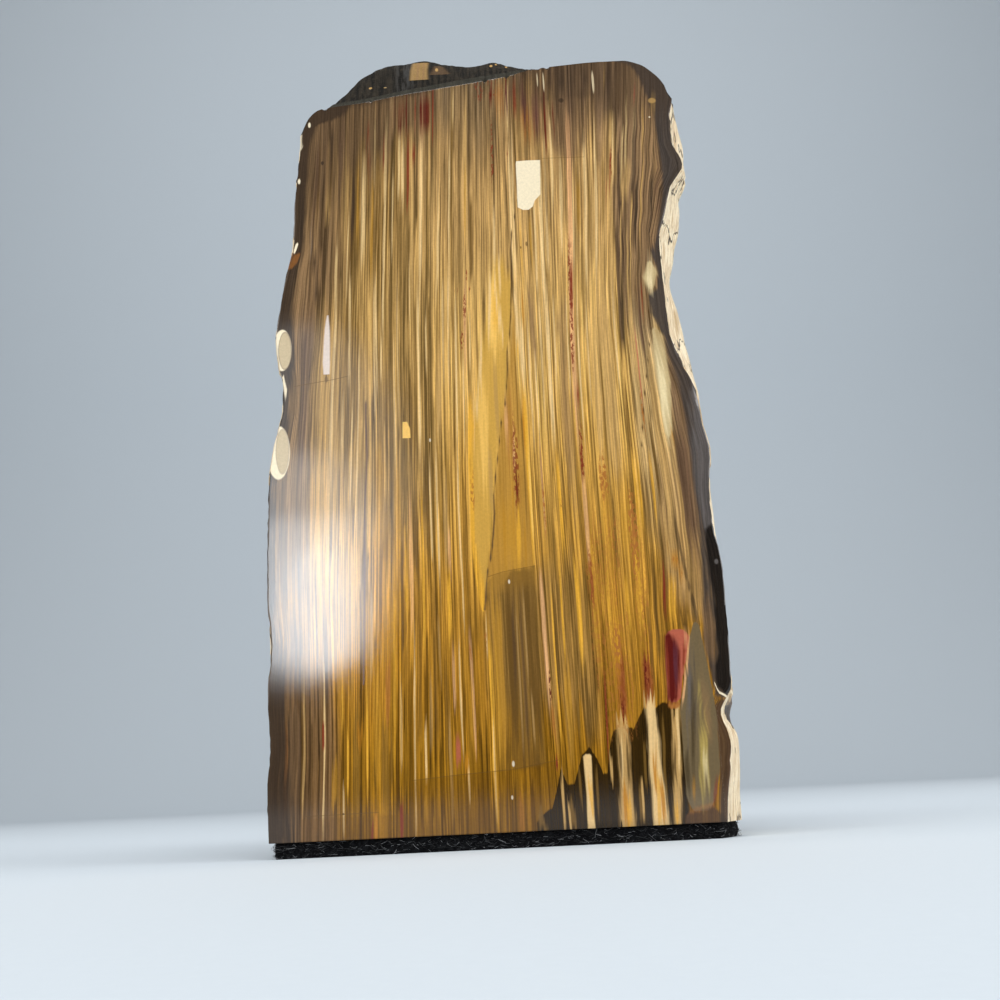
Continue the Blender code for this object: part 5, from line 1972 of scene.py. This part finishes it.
# Pale inclusions, the rind where it reaches the face, and the long cracks.
INCLUSION_MARKS = [
    Patch(M.LENS, ((86.8, 26.2), (88, 25.5), (91, 25.6), (92.3, 26.6)), ((86.8, 26.6), (88, 27.4), (90.5, 27.9),
        (92.3, 27.4)), 0.97, soft=0.3),
    *glows(M.PALE_LENS, 1.5, 0.9, (26.4, 87, 26.8, 92.3), soft=0.8),
    Patch(M.LENS, ((60.8, 27.0), (63, 26.7), (68, 26.5), (74, 26.1), (79.6, 25.9), (80.5, 26.4)), ((60.8, 27.4),
        (62.5, 28.0), (70, 28.4), (76, 28.1), (79.0, 27.7), (80.5, 27.3)), 0.97, soft=0.22),
    *glows(M.PALE_LENS, 1.4, 0.95, (27.35, 60.8, 27.3, 77), soft=0.8),
    *glows(M.PALE_LENS, 0.6, 0.7, (26.9, 62.5, 26.7, 80), soft=0.8),
    *glows(M.OLIVE_TAN, 1.3, 0.5, (27.2, 76.5, 26.9, 81), soft=0.8),
    *streaks(M.ORANGE, 0.6, 0.6, (26.9, 63.4, 26.9, 64.8), (27.7, 61.6, 27.8, 62.8), straight=True, soft=0.6),
    line(M.RIND, ((69.5, -34.2), (72.5, -33.75), (74.5, -34.1), (76, -34.6)), 0.4, 0.9),
    Patch(M.RUST, ((94, -36), (97, -36)), ((94, -32.9), (95, -31.6), (96.4, -31.2), (97, -31.8)), 0.5, soft=0.3),
    Patch(M.RIND, ((97, -36), (99.3, -36)), ((97, -31.9), (98, -31.5), (99.3, -32.2)), 0.95),
    line(M.RIND, ((115, -31.4), (117, -31.1), (119.3, -31.0)), 0.45, 0.9),
    line(M.CRACK, ((35, -3.2), (37.5, -2.9), (42, -2.3), (44, -1.6), (50.5, -1), (53.5, -1), (56, -0.6), (61, 0.2),
        (65, 0.8), (68.5, 1.6), (74, 2.2), (77, 2.3), (82.5, 3.1), (90, 3.7), (97, 3.8), (103, 5), (105, 5.4)),
        0.26, 0.85),
    line(M.CRACK, ((58, 22.5), (59, 22.8), (65, 23.5), (70, 24.3), (75.5, 25.2), (80, 26), (82, 25.8), (86, 25.9)),
        0.26, 0.85),
    line(M.PURPLE_LINE, ((24, -21.9), (32, -21.75), (45, -21.5), (55, -21.2), (60, -20.85), (72, -20.9)), 0.28,
        0.85),
]

# Painted shade: soft dark patches laid last over the upper corners and the lower left edge.
PAINTED_SHADE_MARKS = [
    Patch(M.DUSK, ((106, -50), (140, -50)), ((106, -22), (112, -17), (120, -12), (140, -9)), 0.4, soft=5.0,
        painted=True),
    Patch(M.DUSK, ((120, 16), (124, 12), (140, 12)), ((120, 50), (140, 50)), 0.5, soft=4.0, painted=True),
    Patch(M.DUSK, ((123, 5), (140, 5)), ((123, 12), (140, 14)), 0.4, soft=3.0, painted=True),
    Patch(M.DUSK, ((-10, -50), (27, -50)), ((-10, -31.5), (10, -32), (27, -34.5)), 0.4, soft=2.0, painted=True),
]

# Marks too small or too sharp for the points of the face, so the material draws them.
FINE_DETAILS = [
    Patch(M.CREAM_PATCH, ((102.75, 6.4), (103.2, 5.35), (112.05, 5.45), (112.15, 5.6)), ((102.75, 7.0),
        (103, 7.75), (104.8, 8.4), (105.3, 9.3), (112.2, 9.6)), soft=0.1),
    Patch(M.LILAC, ((74.5, -27.6), (77, -27.8), (80, -27.6), (83, -27.4), (85.4, -27.0)), ((74.5, -26.7),
        (77, -26.6), (80, -26.6), (83, -26.6), (85.4, -26.8)), 0.95, soft=0.14),
    Patch(M.FLAME, ((63, -15.1), (66.5, -15.0)), ((63, -13.8), (65, -13.85), (66.5, -14.4)), 0.95, soft=0.1),
    Seam(M.UMBER, ((-32.5, 73.1), (-29, 73.6), (-26, 74), (-23.5, 74.5))),
    Seam(M.UMBER, ((-2.5, 40.3), (0, 41), (5, 41.7)), strength=0.5),
    Seam(M.UMBER, ((-15, 10.3), (-8, 10.8), (0, 11.2), (7, 12.3)), strength=0.5),
    Seam(M.UMBER, ((-31, 5.9), (-20, 6.0)), strength=0.5),
    Seam(M.UMBER, ((10, 112.4), (17.2, 112.3)), strength=0.4),
    Seam(M.RIND, ((30.9, 22.6), (31.4, 21.1), (32.4, 20.5), (33.9, 19.8)), 0.4, 0.9),
    Speck(M.RIND, (-34.4, 79.5), 3.2, 1.0, 2.35, 0.08),
    Speck(M.BROWN, (-33.95, 79.4), 2.25, 0.75, 3.1, 0.08),
    Speck(M.OVAL, (-33.95, 79.4), 2.0, 1.0, 3.35, 0.12),
    Speck(M.RIND, (-34.9, 62.0), 3.7, 1.0, 2.5, 0.08),
    Speck(M.BROWN, (-34.3, 62.2), 2.3, 0.6, 3.5, 0.1),
    Speck(M.OVAL, (-34.3, 62.2), 2.05, 1.0, 3.8, 0.15),
    Speck(M.OVAL, (19.65, 126.8), 0.5, 0.95, 10.5, 0.4),
    Speck(M.OVAL, (11.05, 127.3), 0.35, 0.9, 13.0, 0.4),
    Speck(M.OVAL, (10.0, 127.8), 0.3, 0.8, 11.0, 0.4),
    Speck(M.TAN, (29.6, 122.6), 1.6, 0.8, 0.8, 0.4),
    Speck(M.UMBER, (-27.2, 74.1), 0.7, 0.7),
    Speck(M.RIND, (-31.6, 110.2), 0.6),
    Speck(M.RIND, (-29.8, 121.0), 0.6),
    Speck(M.WHITE, (0.8, 39.4), 0.4, 0.7),
    Speck(M.WHITE, (0.1, 12.0), 0.5, 0.7),
    Speck(M.WHITE, (-0.3, 7.2), 0.35, 0.7),
    Speck(M.WHITE, (-10.7, 62.9), 0.35, 0.7),
    Speck(M.RIND, (28.9, 119.4), 0.4, 0.7, 1.0),
    Speck(M.CRACK, (6.5, 96.5), 0.5, 0.7),
    Speck(M.CRACK, (5.5, 95.9), 0.3, 0.7),
    Speck(M.CRACK, (-25.2, 6.0), 0.4, 0.8, 1.0),
    Speck(M.GLASS_BLACK, (13.9, 123.5), 1.2, 0.6, 1.0),
    Speck(M.SKIN, (-27.6, 113.5), 0.7, 0.85, 1.4),
    Speck(M.SLATE, (33.0, 41.0), 0.8, 0.8, 1.3),
]

# Pale bands and spots on the front slope of the broken top.
BREAK_MARKS = [
    Patch(M.PALE_TAN, ((130.4, -12.4), (133, -12.3), (135.5, -11.8)), ((130.6, -9.2), (133, -9.3), (135.5, -9.0)),
        0.5, soft=0.35),
    Patch(M.GREY_BROWN, ((130.4, -11.3), (135.5, -11.0)), ((130.4, -10.9), (135.5, -10.6)), 0.8, soft=0.15),
    Patch(M.GREY_BROWN, ((130.4, -10.2), (135.5, -10.0)), ((130.4, -9.9), (135.5, -9.7)), 0.8, soft=0.15),
    Patch(M.BROWN, ((131.4, -9.0), (134.5, -7.8)), ((131.4, -5.0), (134.5, -7.0)), 0.45, soft=0.5),
    Speck(M.PALE_TAN, (-7.6, 133.0), 0.7, 0.7, 1.6),
    Speck(M.PALE_TAN, (-19.4, 129.6), 0.8, 0.8, 0.8),
    Speck(M.CREAM, (-16.8, 129.4), 0.7, 0.5, 0.4),
    Speck(M.PALE_TAN, (2.1, 133.4), 0.7, 0.8, 1.2),
    Speck(M.PALE_TAN, (3.0, 133.8), 0.5, 0.8, 1.2),
    Speck(M.PALE_TAN, (4.8, 133.2), 0.6, 0.8, 1.2),
    Speck(M.RUST, (-23.5, 131.0), 1.1, 0.7, 1.6),
]


STREAKED = gather(0, UPPER_MARKS + MIDDLE_MARKS + LOWER_MARKS, SKIN_MARKS)
SMOOTH = gather(2, FLAME_MARKS, BLOCK_MARKS, COMB_MARKS, RED_MARKS, INCLUSION_MARKS, PAINTED_SHADE_MARKS)


@dataclass(frozen=True)
class WeatheredSide:
    """Natural outside of the log: dark brown bark-like stone with a pale rind in places."""

    def material(self) -> bpy.types.Material:
        """Make the material.

        Returns:
            The material.
        """
        graph = Graph("weathered_side")
        split = graph.add("SeparateXYZ", inputs={0: graph.place()})
        x, y, z = split, split.other("Y"), split.other("Z")
        ribs = graph.noise((x * 0.55, y * 0.55, z * 0.035), 4.0, 0.62)
        grain = graph.noise((x * 1.9, y * 1.9, z * 0.16), 4.0, 0.65)
        blotch = graph.noise((x * 0.11, y * 0.11, z * 0.07), 3.0)
        grit = graph.noise((x * 3.2, y * 3.2, z * 2.4), 3.0, 0.7)
        colour = graph.blend(graph.step(ribs, 0.38, 0.62), M.BARK.colour, M.BROWN.colour)
        colour = graph.blend(graph.step(blotch, 0.48, 0.62, 0, 0.7), colour, M.CHARCOAL.colour)
        colour = graph.blend(graph.step(blotch, 0.47, 0.34, 0, 0.35), colour, M.RUST.colour)
        colour = graph.blend(graph.step(grain, 0.56, 0.7, 0, 0.6), colour, M.TAN.colour)
        colour = graph.blend(graph.step(grain, 0.42, 0.3, 0, 0.7), colour, M.GLASS_BLACK.colour)
        cover = graph.read("rind_cover")
        ragged = cover + (grit - 0.5) * 0.55
        rind = graph.blend(graph.step(grain, 0.35, 0.6), M.RIND_SHADE.colour, M.RIND.colour)
        rind = graph.blend(graph.step(ribs, 0.5, 0.7, 0, 0.45), rind, M.WHITE.colour)
        rind = graph.blend(graph.step(blotch, 0.45, 0.36, 0, 0.5), rind, M.TAN.colour)
        colour = graph.blend(graph.step(ragged, -0.34, -0.12, 0, 0.8), colour, M.RIND_SHADE.colour)
        crack = graph.step(abs(blotch + ribs * 0.25 - 0.615), 0.010, 0.004)
        rind = graph.blend(crack, rind, M.BARK.colour)
        colour = graph.blend(graph.step(ragged, -0.10, 0.02), colour, rind)
        colour = graph.tint(colour, grit * 0.5 + 0.75)
        gloss = graph.step(ragged, -0.1, 0.05, 0.42, 0.62) + (grit - 0.5) * 0.25
        height = grain * 0.7 + grit * 0.35 + graph.step(ragged, -0.1, 0.05, 0.0, 0.5)
        bump = graph.bump(0.75, 0.0003, height)
        return graph.finish(Base_Color=colour, Roughness=gloss, Normal=bump, IOR=1.5)


@dataclass(frozen=True)
class BrokenTop:
    """Rough break across the grain, dark outside, with pale bands where the wood's layers show."""

    def material(self) -> bpy.types.Material:
        """Make the material.

        Returns:
            The material.
        """
        graph = Graph("broken_top")
        stack = Stack(graph)
        x, y, z = stack.x, stack.y, stack.z
        chips = graph.noise((x * 0.8, y * 0.8, z * 0.8), 4.0, 0.65)
        grain = graph.noise((x * 1.6, y * 0.3, z * 0.16), 3.0, 0.65)
        grit = graph.noise((x * 4.0, y * 4.0, z * 4.0), 2.0, 0.7)
        colour = graph.blend(graph.step(grain, 0.38, 0.62), (0.006, 0.005, 0.0035), (0.026, 0.020, 0.013))
        colour = graph.blend(graph.step(chips, 0.52, 0.68, 0, 0.6), colour, (0.040, 0.032, 0.022))
        # Painted sheen: a faint grey-blue reflection laid into the colour of the ridge near x = -13.
        painted_sheen = graph.step(abs(x + 13.2), 2.6, 0.6, 0, 0.5) * graph.step(grain, 0.42, 0.6)
        stack.colour = graph.blend(painted_sheen, colour, (0.055, 0.057, 0.058))
        front = graph.step(y, 6.5, 4.5)
        for mark in BREAK_MARKS:
            stack.lay(mark.mask(stack) * front, mark.mineral)
        inner = graph.step(y, 6.0, 16.0) * graph.step(chips, 0.35, 0.7, 0.15, 0.6)
        colour = graph.blend(inner, stack.colour, (0.16, 0.10, 0.052))
        ledge = graph.step(y, 1.05, 0.85) * graph.step(x, 9.0, 5.0)
        colour = graph.blend(ledge * 0.9, colour, graph.blend(grain, (0.012, 0.011, 0.008), (0.055, 0.050, 0.036)))
        # Painted shade: a dark line in the groove behind the ledge, where the ridge's front shades it.
        groove = graph.step(abs(y - 1.35), 0.45, 0.2) * graph.step(x, 10.0, 6.0)
        colour = graph.blend(groove * 0.85, colour, (0.008, 0.007, 0.005))
        colour = graph.tint(colour, grit * 0.7 + 0.65)
        height = chips * 0.8 + grain * 0.6 + grit * 0.3
        bump = graph.bump(0.6, 0.0004, height)
        return graph.finish(Base_Color=colour, Roughness=chips * 0.15 + 0.75, Normal=bump, IOR=1.2)


@dataclass(frozen=True)
class SawnBase:
    """Sawn, unpolished base."""

    def material(self) -> bpy.types.Material:
        """Make the material.

        Returns:
            The material.
        """
        graph = Graph("sawn_base")
        place = graph.place()
        saw = graph.noise(graph.stretch(place, (0.3, 3.0, 0.3)), detail=4.0)
        colour = graph.blend(saw, M.BROWN.colour, M.OLIVE_TAN.colour)
        return graph.finish(Base_Color=colour, Roughness=saw * 0.2 + 0.5)


@dataclass(frozen=True)
class BlackFelt:
    """Wool felt of mixed black, grey and white fibres."""

    dark: Colour = (0.002, 0.002, 0.0025)
    grey: Colour = (0.018, 0.019, 0.021)
    pale: Colour = (0.40, 0.41, 0.42)

    def sheet_material(self) -> bpy.types.Material:
        """Finish of the pressed sheet.

        Returns:
            The material.
        """
        graph = Graph("black_felt")
        place = graph.place()
        mat = graph.noise(place, detail=5.0, roughness=0.75, distortion=1.5)
        colour = graph.blend(graph.step(mat, 0.45, 0.75), self.dark, self.grey)
        bump = graph.bump(0.7, 0.0002, mat)
        return graph.finish(Base_Color=colour, Roughness=0.95, Normal=bump, IOR=1.2)

    def fibre_material(self) -> bpy.types.Material:
        """Finish of the loose fibres.

        Returns:
            The material.
        """
        graph = Graph("felt_fibres")
        shade = graph.read("fibre_shade")
        colour = graph.blend(graph.step(shade, 0.1, 0.9), self.dark, self.pale)
        return graph.finish(Base_Color=colour, Roughness=0.8)


class Cut(Enum):
    """Outlines of a softbox."""

    SQUARE = "RECTANGLE"
    ROUND = "ELLIPSE"


@dataclass(frozen=True)
class Studio:
    """Pale floor that curves up behind, soft lights, and the camera."""

    camera_back: float = 170.0
    camera_height: float = 8.2
    camera_pitch: float = 14.6
    camera_roll: float = -2.75
    focal_length: float = 40.18
    window_distance: float = 600.0
    glow_for_veil: float = 28.5
    window_tint: Colour = (0.86, 0.93, 1.0)

    def build_backdrop(self) -> None:
        """Lay one pale sheet as floor and wall."""
        wide, front, bend, tall, turn = 3.0, -2.2, 0.9, 2.6, 0.7
        profile = [(front, 0.0), (-0.3, 0.0), (0.3, 0.0), (bend, 0.0)]
        for step in range(1, 25):
            angle = math.pi / 2 * step / 24
            profile.append((bend + turn * math.sin(angle), turn * (1 - math.cos(angle))))
        profile.append((bend + turn, tall))
        points = [(side * wide, y, z) for y, z in profile for side in (-1, 1)]
        quads = [(2 * i, 2 * i + 1, 2 * i + 3, 2 * i + 2) for i in range(len(profile) - 1)]
        mesh = make_mesh("backdrop", np.array(points), quads)
        backdrop = link_object("studio_backdrop", mesh)
        graph = Graph("backdrop_paper")
        metres = graph.add("TexCoord", output="Object")
        tooth = graph.noise(graph.stretch(metres, (900, 900, 900)), detail=2.0)
        colour = graph.blend(tooth, (0.56, 0.62, 0.67), (0.58, 0.64, 0.69))
        mesh.materials.append(graph.finish(Base_Color=colour, Roughness=0.9))

    def add_softbox(
        self,
        name: str,
        place: Colour,
        aim: Colour,
        size: tuple[float, float],
        glow: float,
        cut: Cut = Cut.SQUARE,
    ) -> bpy.types.AreaLight:
        """Hang one softbox.

        Args:
            name: Its name.
            place: Its middle, in metres.
            aim: The point that it faces.
            size: Width and height, in metres.
            glow: Brightness of its surface.
            cut: Its outline.

        Returns:
            The light, to tint.
        """
        data = bpy.data.lights.new(name, "AREA")
        data.shape = cut.value
        data.size, data.size_y = size
        fill = math.pi / 4 if cut is Cut.ROUND else 1.0
        data.energy = glow * size[0] * size[1] * fill * math.pi
        light = link_object(name, data)
        light.location = place
        light.rotation_euler = (Vector(aim) - Vector(place)).to_track_quat("-Z", "Y").to_euler()
        light.visible_camera = False
        return data

    def add_mirrored(
        self,
        name: str,
        across: tuple[float, float],
        up: tuple[float, float],
        veil: float,
        further: float,
        cut: Cut = Cut.SQUARE,
    ) -> None:
        """Add a softbox that the camera sees mirrored in a part of the polished face.

        Args:
            name: Its name.
            across: Left and right end of that part, in millimetres right of the middle line.
            up: Its lower and upper end, in millimetres.
            veil: How bright its mirror image is.
            further: How far behind the nearest softbox it hangs, in millimetres.
            cut: Its outline.
        """
        distance = self.window_distance + further
        reach = 1 + distance / self.camera_back
        wide, tall = (across[1] - across[0]) * reach * MM, (up[1] - up[0]) * reach * MM
        x = (SHIFT_X + sum(across) / 2 * reach) * MM
        z = (self.camera_height + (sum(up) / 2 - self.camera_height) * reach) * MM
        face = SHIFT_Y * MM
        place = (x, face - distance * MM, z)
        light = self.add_softbox(name, place, (x, face, z), (wide, tall), self.glow_for_veil * veil, cut)
        light.color = self.window_tint

    def build_lights(self) -> None:
        """Light the stone from the front, above and both sides, and set the pale surroundings."""
        self.add_mirrored("window_core", (-35.0, -22.5), (25.5, 47), 0.26, 0, cut=Cut.ROUND)
        self.add_mirrored("window_pane", (-39, -22.0), (28, 51), 0.24, 20)
        self.add_mirrored("window_rim", (-43, -18.5), (25.5, 62), 0.15, 40, cut=Cut.ROUND)
        self.add_mirrored("window_halo", (-48, -14.5), (25, 84), 0.08, 60, cut=Cut.ROUND)
        self.add_softbox("overhead", (0.0, -0.5, 1.1), (0, 0, 0.06), (1.0, 0.7), 4.4)
        self.add_softbox("left_fill", (-0.9, -0.5, 0.35), (0, 0, 0.06), (0.6, 0.7), 3.6)
        self.add_softbox("right_fill", (0.95, -0.35, 0.3), (0, 0, 0.06), (0.6, 0.7), 5.6)
        self.add_softbox("wall_wash", (0.0, 0.15, 1.9), (0, 1.5, 0.5), (2.4, 0.5), 5.0)
        world = bpy.data.worlds.new("studio")
        world.use_nodes = True
        world.node_tree.nodes["Background"].inputs["Color"].default_value = (0.80, 0.87, 0.95, 1)
        world.node_tree.nodes["Background"].inputs["Strength"].default_value = 0.06
        bpy.context.scene.world = world

    def build_camera(self) -> None:
        """Stand the camera at the photograph's place, low in front and looking up."""
        data = bpy.data.cameras.new("camera")
        data.lens = self.focal_length
        data.sensor_width = 36.0
        data.clip_start = 0.01
        camera = link_object("camera", data)
        pitch = Matrix.Rotation(math.radians(90 + self.camera_pitch), 4, "X")
        roll = Matrix.Rotation(math.radians(self.camera_roll), 4, "Z")
        place = Vector((SHIFT_X, SHIFT_Y - self.camera_back, self.camera_height)) * MM
        camera.matrix_world = Matrix.Translation(place) @ pitch @ roll
        bpy.context.scene.camera = camera

    def build(self) -> None:
        """Build the whole studio."""
        self.build_backdrop()
        self.build_lights()
        self.build_camera()
        settings = bpy.context.scene.view_settings
        settings.view_transform = "Standard"
        settings.look = "None"
        settings.exposure = 0.0


def main() -> None:
    """Build and dress the stone and its pad, and light them."""
    logging.basicConfig(level=logging.INFO, format="%(message)s")
    stone = Stone()
    rock = stone.build()
    polish = PolishedFace(STREAKED, SMOOTH, FINE_DETAILS)
    polish.store_fields(rock, stone)
    dressings = (polish.material(), WeatheredSide().material(), BrokenTop().material(), SawnBase().material())
    for dressing in dressings:
        rock.data.materials.append(dressing)
    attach(rock, BODY)
    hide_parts(STONE)
    log.info("stone: %d faces", len(rock.data.polygons))

    pad = FeltPad()
    felt = BlackFelt()
    sheet = pad.build_sheet(stone.shape)
    sheet.data.materials.append(felt.sheet_material())
    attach(sheet, BODY)
    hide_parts(PAD)
    fibres = pad.build_fibres()
    fibres.data.materials.append(felt.fibre_material())
    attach(fibres, BODY)
    log.info("felt: %d faces, fibres: %d faces", len(sheet.data.polygons), len(fibres.data.polygons))

    Studio().build()


if __name__ == "__main__":
    main()
